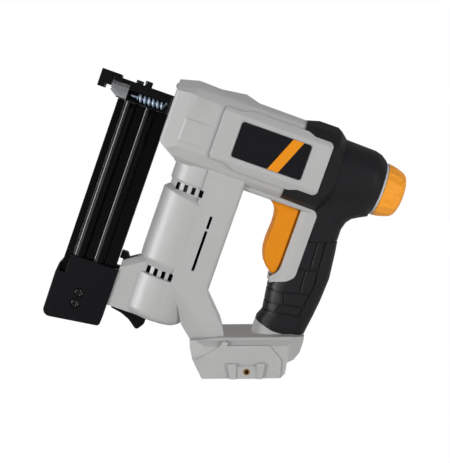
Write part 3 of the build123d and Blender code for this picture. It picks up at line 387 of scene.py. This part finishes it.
def spun(profile: Iterable[tuple[float, float]], steps: int) -> bmesh.types.BMesh:
    """Turns a profile round the x axis.

    Args:
        profile: places along the axis with their radii, in millimetres. Its ends lie on the axis or meet.
        steps: how many faces go round.

    Returns:
        The closed mesh, in millimetres, about the x axis.
    """
    mesh = bmesh.new()
    verts = [mesh.verts.new((x, 0.0, radius)) for x, radius in profile]
    edges = [mesh.edges.new(pair) for pair in zip(verts, verts[1:])]
    bmesh.ops.spin(
        mesh,
        geom=verts + edges,
        cent=ORIGIN,
        axis=ALONG,
        dvec=ORIGIN,
        angle=math.tau,
        steps=steps,
        use_merge=True,
        use_duplicate=False,
    )
    bmesh.ops.remove_doubles(mesh, verts=mesh.verts, dist=MERGE_MM)
    bmesh.ops.recalc_face_normals(mesh, faces=mesh.faces)
    return mesh


# Half the width of a cross recess's arm, as a share of the arm's reach.
CROSS_ARM = 0.26
# Keeps a sine or cosine that something is divided by off zero.
OFF_ZERO = 1e-6


def recess_reach(drive: Drive, size: float, turn: float) -> float:
    """How far a screw's recess reaches from the screw's axis in one direction.

    Args:
        drive: the recess's kind.
        size: the reach to a corner of the hexagon, or to the end of the cross.
        turn: the direction, in radians.

    Returns:
        The reach, in the units of size.
    """
    if drive is Drive.HEXAGON:
        sixth = math.pi / 3
        return size * math.cos(sixth / 2) / math.cos(turn % sixth - sixth / 2)
    across, along = abs(math.sin(turn)) + OFF_ZERO, abs(math.cos(turn)) + OFF_ZERO
    half_arm = CROSS_ARM * size
    return max(min(size / along, half_arm / across), min(size / across, half_arm / along))


def finished(mesh: bmesh.types.BMesh, name: str, place: Matrix | None = None) -> bpy.types.Object:
    """Makes an object of a mesh, at the origin, with its place in the mesh and smooth faces.

    Args:
        mesh: the mesh; it is used up.
        name: the piece's name.
        place: where the mesh goes, if it isn't there already.

    Returns:
        The object, linked to the scene.
    """
    if place is not None:
        bmesh.ops.transform(mesh, matrix=place, verts=mesh.verts)
    for face in mesh.faces:
        face.smooth = True
    for edge in mesh.edges:
        edge.smooth = len(edge.link_faces) == 2 and edge.calc_face_angle(0.0) < SHARP
    data = bpy.data.meshes.new(name)
    mesh.to_mesh(data)
    mesh.free()
    piece = bpy.data.objects.new(name, data)
    bpy.context.scene.collection.objects.link(piece)
    return piece


# The share of a face's edge that one rounding may take up, so that the roundings at both its ends fit.
ROOM_SHARE = 0.45


def mark_edges(mesh: bmesh.types.BMesh, radius_mm: float, most_corners: int = 6) -> None:
    """Marks the sharp edges between simple faces that have room enough to be rounded.

    Args:
        mesh: the mesh, in metres; its edges get bevel weights.
        radius_mm: how far the rounding reaches from an edge.
        most_corners: how many corners the faces beside a rounded edge may have.
    """
    weight = mesh.edges.layers.float.new("bevel_weight_edge")
    radius = radius_mm * MM
    room = {
        edge: math.inf
        for edge in mesh.edges
        if edge.calc_face_angle(0.0) > SHARP
        and all(len(face.verts) <= most_corners for face in edge.link_faces)
    }
    for corner in (loop for face in mesh.faces for loop in face.loops):
        pair = (corner.edge, corner.link_loop_prev.edge)
        turn = min(corner.calc_angle(), math.pi / 2) if corner.is_convex else math.pi / 2
        share = math.tan(turn / 2) if all(edge in room for edge in pair) else math.sin(turn)
        reach = ROOM_SHARE * share * min(edge.calc_length() for edge in pair)
        for edge in pair:
            if edge in room:
                room[edge] = min(room[edge], reach)
    for edge, reach in room.items():
        edge[weight] = 1.0 if reach > radius else 0.0


def soften(piece: bpy.types.Object, radius_mm: float, segments: int = 2, marked: bool = False) -> None:
    """Rounds a piece's sharp edges.

    Args:
        piece: the piece.
        radius_mm: how far the rounding reaches from the edge.
        segments: how many faces go round it.
        marked: whether only the edges with a bevel weight are rounded.
    """
    edges = piece.modifiers.new("edges", "BEVEL")
    edges.width = radius_mm * MM
    edges.segments = segments
    edges.limit_method = "WEIGHT" if marked else "ANGLE"
    edges.angle_limit = SHARP
    edges.use_clamp_overlap = False
    edges.miter_outer = "MITER_ARC"
    normals = piece.modifiers.new("normals", "WEIGHTED_NORMAL")
    normals.keep_sharp = marked


# Sub-assemblies.
def node_slot(node: str) -> str:
    """The record's material slot of a CAD node."""
    return next(part["material_slot"] for part in frame["record"]["subparts"] if part["node"] == node)


@dataclass
class SubAssembly:
    """A group of pieces that belong together."""

    pieces: list[bpy.types.Object] = field(default_factory=list, init=False)

    def place(
        self, piece: bpy.types.Object, body: Body, slot: str, *nodes: str, finish: Finish | None = None
    ) -> None:
        """Dresses a piece, lets it ride a body, and lets it stand for CAD nodes.

        Args:
            piece: the piece.
            body: the body that carries it.
            slot: the record's material slot.
            nodes: the CAD nodes that it stands for.
            finish: a finish other than the slot's own.
        """
        piece.data.materials.clear()
        piece.data.materials.append((finish or SLOT_FINISH[slot]).material())
        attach(piece, body.value)
        if nodes:
            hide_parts(*nodes)
        self.pieces.append(piece)

    def shell(
        self,
        node: str,
        body: Body,
        slot: str,
        edge_mm: float,
        segments: int = 2,
        marked: bool = False,
        mesh: bmesh.types.BMesh | None = None,
    ) -> None:
        """Makes a moulded piece of a CAD node: the same form with rounded edges.

        Args:
            node: the node's name.
            body: the body that carries it.
            slot: the record's material slot.
            edge_mm: how far its edges are rounded.
            segments: how many faces go round an edge.
            marked: whether only edges between simple faces are rounded.
            mesh: the form to round, in metres, if it isn't the node's own. It is used up.
        """
        if mesh is None:
            mesh = merged_copy(node)
        if marked:
            mark_edges(mesh, edge_mm)
        piece = finished(mesh, f"{node}_moulded")
        soften(piece, edge_mm, segments, marked)
        self.place(piece, body, slot, node)

    def build(self) -> None:
        """Builds and dresses the pieces."""
        raise NotImplementedError


@dataclass
class Housing(SubAssembly):
    """The grey clamshell and its soft black overmould."""

    shell_edge: float = 0.5
    grip_edge: float = 0.3
    # The raised pad on the head: the place and slack of its front edge, its height and the chamfer there.
    pad_front: float = -28.0
    pad_front_slack: float = 0.5
    pad_height: float = 33.1
    pad_chamfer: float = 1.5
    # The web's slots: their middle, half their width in the CAD and here, and the levels of their ends.
    slot_at: float = 18.4
    slot_half: float = 0.85
    slot_half_wide: float = 1.15
    slot_ends: tuple[float, ...] = (-66.0, -76.7, -78.6, -112.9)
    # Corners at the tip of the trigger's frame: x and z in the CAD, then x and z here.
    tip_moves: tuple[tuple[float, float, float, float], ...] = (
        (78.3, -94.6, 81.0, -97.0),
        (79.41, -98.5, 81.28, -98.5),
        (80.7, -103.0, 82.0, -102.44),
    )
    # How close to one of these places a corner is taken to be at it.
    near: float = 0.06

    def build(self) -> None:
        """Makes both halves of the clamshell and of the overmould."""
        for side in ("left", "right"):
            self.half(f"housing_{side}")
            self.shell(f"grip_{side}", Body.TOOL, "grip_black", self.grip_edge, marked=True)

    def half(self, node: str) -> None:
        """Makes one half of the clamshell, with a chamfer along the front of the pad on its head.

        Args:
            node: the half's node.
        """
        mesh = tool_copy(node)
        for vert in mesh.verts:
            self.adjust(vert)
        bmesh.ops.bevel(
            mesh,
            geom=[edge for edge in mesh.edges if all(self.at_pad_front(vert.co) for vert in edge.verts)],
            offset=self.pad_chamfer,
            offset_type="OFFSET",
            affect="EDGES",
            segments=1,
            profile=0.5,
            material=-1,
            clamp_overlap=False,
        )
        bmesh.ops.transform(mesh, matrix=TOOL, verts=mesh.verts)
        self.shell(node, Body.TOOL, "housing_grey", self.shell_edge, marked=True, mesh=mesh)

    def adjust(self, vert: bmesh.types.BMVert) -> None:
        """Moves a corner of the web's slots, to widen them, or of the trigger frame's tip, to draw it back.

        Args:
            vert: any corner of the half, in the tool's frame. The others stay where they are.
        """
        x, y, z = vert.co
        off_slot = x - self.slot_at
        on_side = abs(abs(off_slot) - self.slot_half) < self.near
        if on_side and any(abs(z - end) < self.near for end in self.slot_ends):
            vert.co.x = self.slot_at + math.copysign(self.slot_half_wide, off_slot)
        for from_x, from_z, to_x, to_z in self.tip_moves:
            if abs(x - from_x) < self.near and abs(z - from_z) < self.near:
                vert.co = (to_x, y, to_z)

    def at_pad_front(self, place: Vector) -> bool:
        """Whether a corner lies on the upper front edge of the pad."""
        at_front = abs(place.x - self.pad_front) < self.pad_front_slack
        return at_front and abs(abs(place.y) - self.pad_height) < self.near


@dataclass
class SidePanels(SubAssembly):
    """The raised panels, and the film plate with its slanted band."""

    panel_edge: float = 0.9
    panel_segments: int = 3
    film_edge: float = 0.12
    # The band: where it crosses the barrel's axis, its width, its lean and how far it stands proud.
    band_from: float = 53.0
    band_width: float = 9.0
    band_lean: float = 0.42
    band_rise: float = 0.06

    def build(self) -> None:
        """Makes the panels, the plate and the band."""
        for side in ("left", "right"):
            self.shell(f"side_panel_{side}", Body.TOOL, "housing_grey", self.panel_edge, self.panel_segments)
        self.shell("label_plate", Body.TOOL, "label_black", self.film_edge)
        self.place(self.band(), Body.TOOL, "label_black", finish=ORANGE_FILM)

    def band(self) -> bpy.types.Object:
        """Cuts the slanted band out of a copy of the plate and lays it just proud of the plate.

        Returns:
            The band.
        """
        mesh = tool_copy("label_plate")
        lean = Vector((1.0, 0.0, -self.band_lean)).normalized()
        for start, outward in ((self.band_from, -1.0), (self.band_from + self.band_width, 1.0)):
            bmesh.ops.bisect_plane(
                mesh,
                geom=mesh.verts[:] + mesh.edges[:] + mesh.faces[:],
                plane_co=(start, 0.0, 0.0),
                plane_no=lean * outward,
                clear_outer=True,
            )
            bmesh.ops.holes_fill(mesh, edges=mesh.edges[:], sides=0)
        bmesh.ops.recalc_face_normals(mesh, faces=mesh.faces)
        bmesh.ops.translate(mesh, vec=(0.0, -self.band_rise, 0.0), verts=mesh.verts)
        return finished(mesh, "label_band", TOOL)


@dataclass
class PowerKnob(SubAssembly):
    """The fluted orange knob and the plain ring before it."""

    # Each flute is a few of its columns of faces, pressed in between two places along the knob.
    flutes: int = 18
    columns_per_flute: int = 12
    columns_pressed: int = 7
    flute_from: float = 145.2
    flute_to: float = 158.4
    flute_depth: float = 0.42
    ring_steps: int = 96
    # Profiles: places along the tool's axis with their radii.
    profile: tuple[tuple[float, float], ...] = (
        (144.0, 0.0),
        (144.0, 22.1),
        (144.4, 22.45),
        (145.4, 22.35),
        (147.4, 22.1),
        (150.0, 21.75),
        (152.4, 21.1),
        (154.5, 20.45),
        (156.2, 19.9),
        (157.6, 19.4),
        (159.0, 18.6),
        (160.8, 17.1),
        (161.9, 14.6),
        (162.7, 12.2),
        (163.3, 8.5),
        (163.5, 6.5),
        (163.5, 0.0),
    )
    ring: tuple[tuple[float, float], ...] = (
        (138.0, 5.2),
        (138.0, 22.3),
        (143.3, 22.3),
        (143.7, 22.2),
        (143.9, 21.9),
        (143.9, 5.2),
        (138.0, 5.2),
    )

    def build(self) -> None:
        """Makes the knob and the ring."""
        # The knob takes the orange that is painted a shade lighter, as painted light.
        self.place(self.knob(), Body.KNOB, "accent_orange", "power_knob", finish=KNOB_ABS_PAINTED_LIT)
        ring = finished(spun(self.ring, self.ring_steps), "trim_ring_turned", TOOL)
        self.place(ring, Body.TOOL, "ring_grey", "trim_ring")

    def knob(self) -> bpy.types.Object:
        """Turns the knob and presses its flutes in.

        Returns:
            The knob.
        """
        steps = self.flutes * self.columns_per_flute
        mesh = spun(self.profile, steps)
        for vert in mesh.verts:
            radius = math.hypot(vert.co.y, vert.co.z)
            column = round(math.atan2(vert.co.y, vert.co.z) / math.tau * steps) % self.columns_per_flute
            if self.flute_from < vert.co.x < self.flute_to and column < self.columns_pressed:
                share = 1.0 - self.flute_depth / radius
                vert.co.y *= share
                vert.co.z *= share
        return finished(mesh, "power_knob_moulded", TOOL)


@dataclass
class Trigger(SubAssembly):
    """The orange trigger, rounded where the finger lies, with its hub and the skirts inside the handle."""

    half_width: float = 11.0
    edge: float = 2.6
    segments: int = 6
    # Only rims behind this x and below this z are rounded.
    rounded_from: float = 65.0
    rounded_below: float = -39.0
    # The size of a skirt, and the middle of the far one.
    skirt: tuple[float, float, float] = (4.6, 2.0, 48.4)
    skirt_at: tuple[float, float, float] = (87.2, 8.0, -63.2)
    outline: tuple[tuple[float, float], ...] = (
        (60.8, -38.1),
        (62.6, -39.2),
        (65.4, -41.4),
        (67.4, -45.0),
        (68.4, -50.0),
        (68.7, -56.0),
        (68.3, -63.0),
        (68.0, -69.5),
        (68.4, -76.0),
        (69.8, -82.0),
        (72.4, -87.4),
        (76.0, -91.6),
        (79.4, -94.2),
        (82.2, -95.3),
        (84.6, -94.3),
        (85.8, -91.2),
        (86.3, -86.0),
        (86.3, -41.6),
        (85.7, -39.4),
        (84.4, -38.1),
        (75.3, -38.1),
        (75.3, -33.2),
        (73.8, -31.3),
        (72.0, -30.8),
        (70.1, -31.3),
        (68.6, -33.2),
        (68.6, -38.1),
    )

    def build(self) -> None:
        """Makes the trigger of one side outline, rounds its rims and sets the skirts behind it."""
        mesh = bmesh.new()
        side = mesh.faces.new([mesh.verts.new((x, -self.half_width, z)) for x, z in self.outline])
        grown = bmesh.ops.extrude_face_region(mesh, geom=[side], use_keep_orig=True)["geom"]
        far_side = [item for item in grown if isinstance(item, bmesh.types.BMVert)]
        bmesh.ops.translate(mesh, vec=(0.0, 2.0 * self.half_width, 0.0), verts=far_side)
        bmesh.ops.recalc_face_normals(mesh, faces=mesh.faces)
        bmesh.ops.bevel(
            mesh,
            geom=[edge for edge in mesh.edges if self.is_rim(edge)],
            offset=self.edge,
            offset_type="OFFSET",
            affect="EDGES",
            segments=self.segments,
            profile=0.5,
            material=-1,
            clamp_overlap=False,
        )
        x, y, z = self.skirt_at
        for across in (-y, y):
            place = Matrix.Translation((x, across, z)) @ Matrix.Diagonal((*self.skirt, 1.0))
            bmesh.ops.create_cube(mesh, size=1.0, matrix=place)
        self.place(finished(mesh, "trigger_moulded", TOOL), Body.TRIGGER, "accent_orange", "trigger")

    def is_rim(self, edge: bmesh.types.BMEdge) -> bool:
        """Tells the edges that are rounded.

        Args:
            edge: an edge of the trigger.

        Returns:
            Whether it lies round one of the sides, below the housing and clear of the front tip.
        """
        first, second = (vert.co for vert in edge.verts)
        below = (first.z + second.z) / 2 < self.rounded_below
        clear = min(first.x, second.x) > self.rounded_from
        return below and clear and abs(first.y - second.y) < LEVEL_MM


@dataclass
class ScrewHeads(SubAssembly):
    """A row of equal screw heads that stand for one CAD node."""

    name: str
    node: str
    tops: tuple[tuple[float, float, float], ...]
    outward: tuple[float, float, float] = UP
    body: Body = Body.TOOL
    drive: Drive = Drive.HEXAGON
    radius: float = 3.1
    # The recess: its reach and depth, the inset that begins it, and the share of the reach left at its floor.
    recess: float = 1.7
    recess_depth: float = 1.4
    recess_inset: float = 0.05
    recess_floor: float = 0.86
    foot_length: float = 5.2
    # How far the rim is rounded, as a share of the radius.
    rounding: float = 0.12
    rounding_steps: int = 4
    steps: int = 48

    def build(self) -> None:
        """Makes all heads as one piece."""
        turn = Vector(ALONG).rotation_difference(Vector(self.outward)).to_matrix().to_4x4()
        whole = bmesh.new()
        for top in self.tops:
            head = self.head()
            bmesh.ops.transform(head, matrix=Matrix.Translation(top) @ turn, verts=head.verts)
            part = bpy.data.meshes.new("head")
            head.to_mesh(part)
            head.free()
            whole.from_mesh(part)
            bpy.data.meshes.remove(part)
        self.place(finished(whole, self.name, TOOL), self.body, "screw_black", self.node)

    def head(self) -> bmesh.types.BMesh:
        """Turns one head with its top at zero, looking along x, and sinks its recess.

        Returns:
            The mesh, in millimetres.
        """
        edge = self.rounding * self.radius
        turns = [step * math.pi / 2 / self.rounding_steps for step in range(self.rounding_steps + 1)]
        rim = [(edge * (math.sin(turn) - 1.0), self.radius + edge * (math.cos(turn) - 1.0)) for turn in turns]
        foot = [(-self.foot_length, 0.0), (-self.foot_length, self.radius)]
        mesh = spun([*foot, *rim, (0.0, 0.0)], self.steps)
        top = [face for face in mesh.faces if face.calc_center_median().x > -LEVEL_MM]
        bmesh.ops.dissolve_faces(mesh, faces=top)
        for depth, share in ((0.0, 1.0), (-self.recess_depth, self.recess_floor)):
            cap = max(
                mesh.faces,
                key=lambda face: face.normal.x * len(face.verts) + face.calc_center_median().x,
            )
            bmesh.ops.inset_region(mesh, faces=[cap], thickness=self.recess_inset, use_even_offset=True)
            for vert in cap.verts:
                turn = math.atan2(vert.co.z, vert.co.y)
                reach = recess_reach(self.drive, self.recess, turn) * share
                vert.co = (depth, reach * math.cos(turn), reach * math.sin(turn))
        return mesh


@dataclass
class NoseScrews(ScrewHeads):
    """The two socket screws on the nose."""

    name: str = "nose_screw_heads"
    node: str = "nose_screws"
    tops: tuple[tuple[float, float, float], ...] = ((-71.5, -8.4, 18.3), (-65.0, 8.4, 20.3))


@dataclass
class EndBlockScrews(ScrewHeads):
    """The two cross-head screws in the magazine's end block, with well rounded heads."""

    name: str = "end_block_screw_heads"
    node: str = "end_block_screws"
    tops: tuple[tuple[float, float, float], ...] = ((-62.8, -16.5, -161.2), (-63.0, -16.5, -170.7))
    outward: tuple[float, float, float] = (0.0, -1.0, 0.0)
    body: Body = Body.MAGAZINE
    drive: Drive = Drive.CROSS
    radius: float = 4.0
    recess: float = 2.4
    rounding: float = 0.34


@dataclass
class HousingScrews(ScrewHeads):
    """The four cross-head screws that hold the housing's halves together."""

    name: str = "housing_screw_heads"
    node: str = "housing_screws"
    tops: tuple[tuple[float, float, float], ...] = (
        (-29.0, 11.6, 20.5),
        (28.0, 11.6, -82.0),
        (117.5, 11.6, -60.0),
        (100.0, 11.6, -128.0),
    )
    outward: tuple[float, float, float] = (0.0, 1.0, 0.0)
    drive: Drive = Drive.CROSS
    radius: float = 3.2
    recess: float = 2.0


@dataclass
class Nose(SubAssembly):
    """The nose block, the cast guide, the contact foot with its side spring, and the lamp."""

    block_edge: float = 0.3
    block_foot: float = -0.5
    # The guide's parting groove: its two levels, its depth, and how far out the faces are that it runs along.
    groove: tuple[float, float] = (9.5, 10.2)
    groove_depth: float = 0.8
    groove_beyond: float = 13.5
    foot_edge: float = 0.4
    pin_edge: float = 0.2
    # The side spring: its ends along the tool, the y and z of its axis, and how it is wound.
    spring_ends: tuple[float, float] = (-68.9, -45.2)
    spring_axis: tuple[float, float] = (-10.6, 4.7)
    spring_radius: float = 2.65
    spring_wire: float = 1.9
    spring_turns: int = 6
    spring_steps: int = 24
    wire_sides: int = 10
    contact_travel: float = 5.0
    lens_steps: int = 32
    lens: tuple[tuple[float, float], ...] = (
        (-36.0, 0.0),
        (-36.0, 2.2),
        (-42.0, 2.2),
        (-42.6, 2.0),
        (-43.1, 1.4),
        (-43.35, 0.7),
        (-43.4, 0.0),
    )

    def build(self) -> None:
        """Makes the pieces round the nose."""
        self.block()
        self.guide()
        self.shell("contact_foot", Body.CONTACT, "nose_black", self.foot_edge)
        pin = finished(merged_copy("contact_pin"), "contact_pin_turned")
        soften(pin, self.pin_edge)
        self.place(pin, Body.CONTACT, "steel", "contact_pin", finish=PLATED_WIRE)
        self.spring()
        lowest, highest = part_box("lamp_lens")
        centre = TOOL.inverted() @ ((lowest + highest) / 2)
        socket = TOOL @ Matrix.Translation((0.0, 0.0, centre.z))
        dome = finished(spun(self.lens, self.lens_steps), "lamp_lens_dome", socket)
        self.place(dome, Body.TOOL, "lens_clear", "lamp_lens")

    def block(self) -> None:
        """Makes the block, with its underside let down to just above the magazine."""
        mesh = tool_copy("nose_block")
        for vert in mesh.verts:
            if vert.co.z < 0.0:
                vert.co.z = self.block_foot
        bmesh.ops.transform(mesh, matrix=TOOL, verts=mesh.verts)
        self.shell("nose_block", Body.TOOL, "nose_black", self.block_edge, marked=True, mesh=mesh)

    def guide(self) -> None:
        """Makes the cast guide, with the parting groove along both its sides."""
        mesh = tool_copy("nose_guide")
        for level in self.groove:
            everything = mesh.verts[:] + mesh.edges[:] + mesh.faces[:]
            bmesh.ops.bisect_plane(mesh, geom=everything, plane_co=(0.0, 0.0, level), plane_no=UP)
        mesh.normal_update()
        low, high = self.groove
        centres = {face: face.calc_center_median() for face in mesh.faces}
        sides = [
            face
            for face, centre in centres.items()
            if low < centre.z < high and abs(centre.y) > self.groove_beyond
        ]
        bmesh.ops.inset_region(
            mesh, faces=sides, thickness=0.0, depth=-self.groove_depth, use_even_offset=True
        )
        guide = finished(mesh, "nose_guide_moulded", TOOL)
        self.place(guide, Body.TOOL, "guide_cast", "nose_guide")

    def spring(self) -> None:
        """Winds the side spring, which in the tool gives way as the contact foot slides back; here it keeps
        its wound length.
        """
        front, rear = self.spring_ends
        steps = self.spring_turns * self.spring_steps
        mesh = bmesh.new()
        wire = bmesh.ops.create_circle(
            mesh, cap_ends=False, segments=self.wire_sides, radius=self.spring_wire / 2
        )["verts"]
        start = Matrix.Translation((front + self.spring_wire / 2, 0.0, self.spring_radius))
        bmesh.ops.transform(mesh, matrix=start @ Matrix.Rotation(math.pi / 2, 4, "X"), verts=wire)
        bmesh.ops.spin(
            mesh,
            geom=mesh.verts[:] + mesh.edges[:],
            cent=ORIGIN,
            axis=ALONG,
            dvec=((rear - front - self.spring_wire) / steps, 0.0, 0.0),
            angle=math.tau * self.spring_turns,
            steps=steps,
            use_merge=False,
            use_duplicate=False,
        )
        bmesh.ops.holes_fill(mesh, edges=[edge for edge in mesh.edges if edge.is_boundary], sides=0)
        bmesh.ops.recalc_face_normals(mesh, faces=mesh.faces)
        across, level = self.spring_axis
        coil = finished(mesh, "contact_spring_wound", TOOL @ Matrix.Translation((0.0, across, level)))
        self.place(coil, Body.TOOL, "steel", "contact_spring", finish=PLATED_WIRE)
        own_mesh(coil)


@dataclass
class Magazine(SubAssembly):
    """The sliding magazine with its end block, and the pusher inside it."""

    extrusion_edge: float = 0.25
    block_edge: float = 0.6
    pusher_edge: float = 0.3

    def build(self) -> None:
        """Makes the extrusion, the end block and the pusher."""
        self.shell("magazine", Body.MAGAZINE, "magazine_black", self.extrusion_edge)
        self.shell("magazine_end_block", Body.MAGAZINE, "block_black", self.block_edge, marked=True)
        self.shell("pusher", Body.FEEDER, "steel", self.pusher_edge)


@dataclass
class Latch(SubAssembly):
    """The latch lever under the bracket."""

    edge: float = 0.6

    def build(self) -> None:
        """Makes the lever."""
        self.shell("latch_lever", Body.LATCH, "block_black", self.edge)


@dataclass(frozen=True)
class GivingSpring:
    """An inner spring that, in the tool, shortens along one direction as its joint moves.

    The joint, the direction, the place where it is held still and the share of its length that it keeps when
    the joint has moved all the way are listed; nothing here shortens it.
    """

    node: str
    body: Body
    joint: str
    direction: tuple[float, float, float]
    held_at: tuple[float, float, float]
    keep: float


GIVING_SPRINGS = (
    GivingSpring("drive_spring", Body.TOOL, "plunger_slide", ALONG, held_at=(127.6, 0.0, 0.0), keep=0.43),
    GivingSpring("trigger_spring", Body.TOOL, "trigger_pull", ALONG, held_at=(98.9, 0.0, -70.0), keep=0.53),
    GivingSpring("latch_spring", Body.TOOL, "latch_turn", ALONG, held_at=(-25.9, 0.0, -138.0), keep=0.50),
    GivingSpring("feed_spring", Body.MAGAZINE, "pusher_slide", UP, held_at=(-74.0, 0.0, -163.0), keep=0.39),
)


@dataclass
class InnerDrive(SubAssembly):
    """The springs inside, and the nodes that keep their CAD form and only take a finish."""

    # Nodes that show only through a vent or a gap. They are painted black as painted shade, for the shade
    # inside the housing, instead of taking their own finish.
    shade_painted_nodes: tuple[str, ...] = ("gearbox_case", "gear_frame", "motor_can", "cooling_fan", "latch_pin")

    def build(self) -> None:
        """Makes the springs, then gives every node still shown its slot's finish, or black as painted shade
        behind a vent.
        """
        for spring in GIVING_SPRINGS:
            piece = finished(merged_copy(spring.node), f"{spring.node}_wound")
            self.place(piece, spring.body, node_slot(spring.node), spring.node)
            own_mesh(piece)
        for name, node in frame["nodes"].items():
            if node.hide_render:
                continue
            # Painted shade: the nodes seen through a vent or a gap take black steel instead of their own
            # finish.
            finish = BLACK_STEEL if name in self.shade_painted_nodes else SLOT_FINISH[node_slot(name)]
            node.data.materials.clear()
            node.data.materials.append(finish.material())
            LOG.info("node %s keeps its form, with %s", name, finish.name)


# Studio.
@dataclass(frozen=True)
class Lamp:
    """A soft light panel: its place and its width and height in metres, and its power in watts.

    It may be kept from lighting dull surfaces, or from being mirrored in glossy ones.
    """

    name: str
    place: tuple[float, float, float]
    size: tuple[float, float]
    power: float
    lights: bool = True
    mirrored: bool = True

    def hang(self, aim: Vector) -> None:
        """Hangs the panel.

        Args:
            aim: the place that it looks at, in metres.
        """
        light = bpy.data.lights.new(self.name, "AREA")
        light.shape = "RECTANGLE"
        light.size, light.size_y = self.size
        light.energy = self.power
        holder = bpy.data.objects.new(self.name, light)
        holder.location = self.place
        holder.rotation_euler = (aim - Vector(self.place)).to_track_quat("-Z", "Y").to_euler()
        holder.visible_diffuse = self.lights
        holder.visible_glossy = self.mirrored
        bpy.context.scene.collection.objects.link(holder)


# The strips only draw highlights on the glossy pieces. The last three light the top and the far side.
LAMPS = (
    Lamp("key", (-0.9, -1.0, 0.22), (0.5, 0.5), 7.3),
    Lamp("fill", (0.9, -1.0, 0.2), (0.6, 0.6), 8.6, mirrored=False),
    Lamp("strip", (-1.3, -0.25, 0.35), (0.3, 0.8), 45.0, lights=False),
    Lamp("right_strip", (1.0, -0.9, 0.4), (0.1, 0.8), 2.4, lights=False),
    Lamp("top", (0.1, -0.1, 1.4), (0.6, 0.6), 0.3, mirrored=False),
    Lamp("rim", (0.75, 1.1, 0.45), (0.6, 0.6), 5.0, mirrored=False),
    Lamp("far_fill", (-0.9, 1.0, 0.35), (0.6, 0.6), 3.5, mirrored=False),
)
WHITE = "#ffffff"


@dataclass
class Studio:
    """Floor, light and camera."""

    # The camera: where it looks and how far off it is in millimetres, its angles in degrees, and its lens.
    aim: tuple[float, float, float] = (-11.7, 0.0, 116.5)
    azimuth: float = -2.0
    elevation: float = 6.0
    distance: float = 900.0
    lens: float = 84.0
    # How bright the room is for rays that only light, and the share of its full white that a gloss shows.
    room_light: float = 0.24
    gloss_share: float = 0.15
    # The floor's half width in metres, its paint, and the glow that makes it white to look at.
    floor_reach: float = 6.0
    floor_colour: str = "#f4f4f2"
    floor_roughness: float = 0.9
    floor_glow: float = 1.025
    floor_glow_share: float = 0.96

    def build(self) -> None:
        """Sets the floor, the light and the camera up."""
        self.background()
        self.floor()
        for lamp in LAMPS:
            lamp.hang(Vector(self.aim) * MM)
        self.camera()
        bpy.context.scene.view_settings.view_transform = "Standard"

    def seen_ray(self, tree: bpy.types.NodeTree) -> bpy.types.NodeSocket:
        """Adds nodes that tell rays from the camera, a gloss or a lens from rays that only light.

        Args:
            tree: the node tree.

        Returns:
            A socket that is one for rays that show the background, and less for those that a gloss sends out.
        """
        rays = add_node(tree, "ShaderNodeLightPath", {}).outputs
        mirrored = add_node(
            tree, "ShaderNodeMath", {0: rays["Is Glossy Ray"], 1: self.gloss_share}, operation="MULTIPLY"
        ).outputs[0]
        direct = add_node(
            tree, "ShaderNodeMath", {0: rays["Is Camera Ray"], 1: mirrored}, operation="MAXIMUM"
        ).outputs[0]
        return add_node(
            tree, "ShaderNodeMath", {0: direct, 1: rays["Is Transmission Ray"]}, operation="MAXIMUM"
        ).outputs[0]

    def background(self) -> None:
        """Makes a world that is white to look at and lights softly."""
        world = bpy.data.worlds.new("studio")
        bpy.context.scene.world = world
        world.use_nodes = True
        tree = world.node_tree
        strength = add_node(
            tree,
            "ShaderNodeMapRange",
            {"Value": self.seen_ray(tree), "To Min": self.room_light, "To Max": 1.0},
        ).outputs["Result"]
        tree.nodes["Background"].inputs["Color"].default_value = linear(WHITE)
        tree.links.new(strength, tree.nodes["Background"].inputs["Strength"])

    def floor(self) -> None:
        """Lays a pale floor under the tool that is white to look at and keeps a light shadow."""
        mesh = bmesh.new()
        bmesh.ops.create_grid(mesh, x_segments=1, y_segments=1, size=self.floor_reach)
        plane = finished(mesh, "floor")
        paint = bpy.data.materials.new("paper_backdrop_white")
        paint.use_nodes = True
        tree = paint.node_tree
        shader = tree.nodes["Principled BSDF"]
        shader.inputs["Base Color"].default_value = linear(self.floor_colour)
        shader.inputs["Roughness"].default_value = self.floor_roughness
        glow = add_node(
            tree, "ShaderNodeEmission", {"Color": linear(WHITE), "Strength": self.floor_glow}
        ).outputs[0]
        share = add_node(
            tree, "ShaderNodeMath", {0: self.seen_ray(tree), 1: self.floor_glow_share}, operation="MULTIPLY"
        ).outputs[0]
        mix = add_node(tree, "ShaderNodeMixShader", {0: share, 1: shader.outputs[0], 2: glow}).outputs[0]
        tree.links.new(mix, tree.nodes["Material Output"].inputs["Surface"])
        plane.data.materials.append(paint)

    def camera(self) -> None:
        """Sets the camera at the photograph's angle."""
        data = bpy.data.cameras.new("camera")
        data.lens = self.lens
        turn, rise = math.radians(self.azimuth), math.radians(self.elevation)
        back = Vector((math.sin(turn) * math.cos(rise), -math.cos(turn) * math.cos(rise), math.sin(rise)))
        holder = bpy.data.objects.new("camera", data)
        holder.location = (Vector(self.aim) + back * self.distance) * MM
        holder.rotation_euler = (-back).to_track_quat("-Z", "Y").to_euler()
        bpy.context.scene.collection.objects.link(holder)
        bpy.context.scene.camera = holder


def main() -> None:
    """Builds every sub-assembly in order and reports each piece."""
    logging.basicConfig(level=logging.INFO, format="%(name)s: %(message)s")
    assemblies: list[SubAssembly] = [
        Housing(),
        SidePanels(),
        PowerKnob(),
        Trigger(),
        Nose(),
        NoseScrews(),
        Magazine(),
        EndBlockScrews(),
        Latch(),
        HousingScrews(),
        InnerDrive(),
    ]
    for assembly in assemblies:
        assembly.build()
        for piece in assembly.pieces:
            LOG.info("%s made %s", type(assembly).__name__, piece.name)
    Studio().build()


if __name__ == "__main__":
    main()
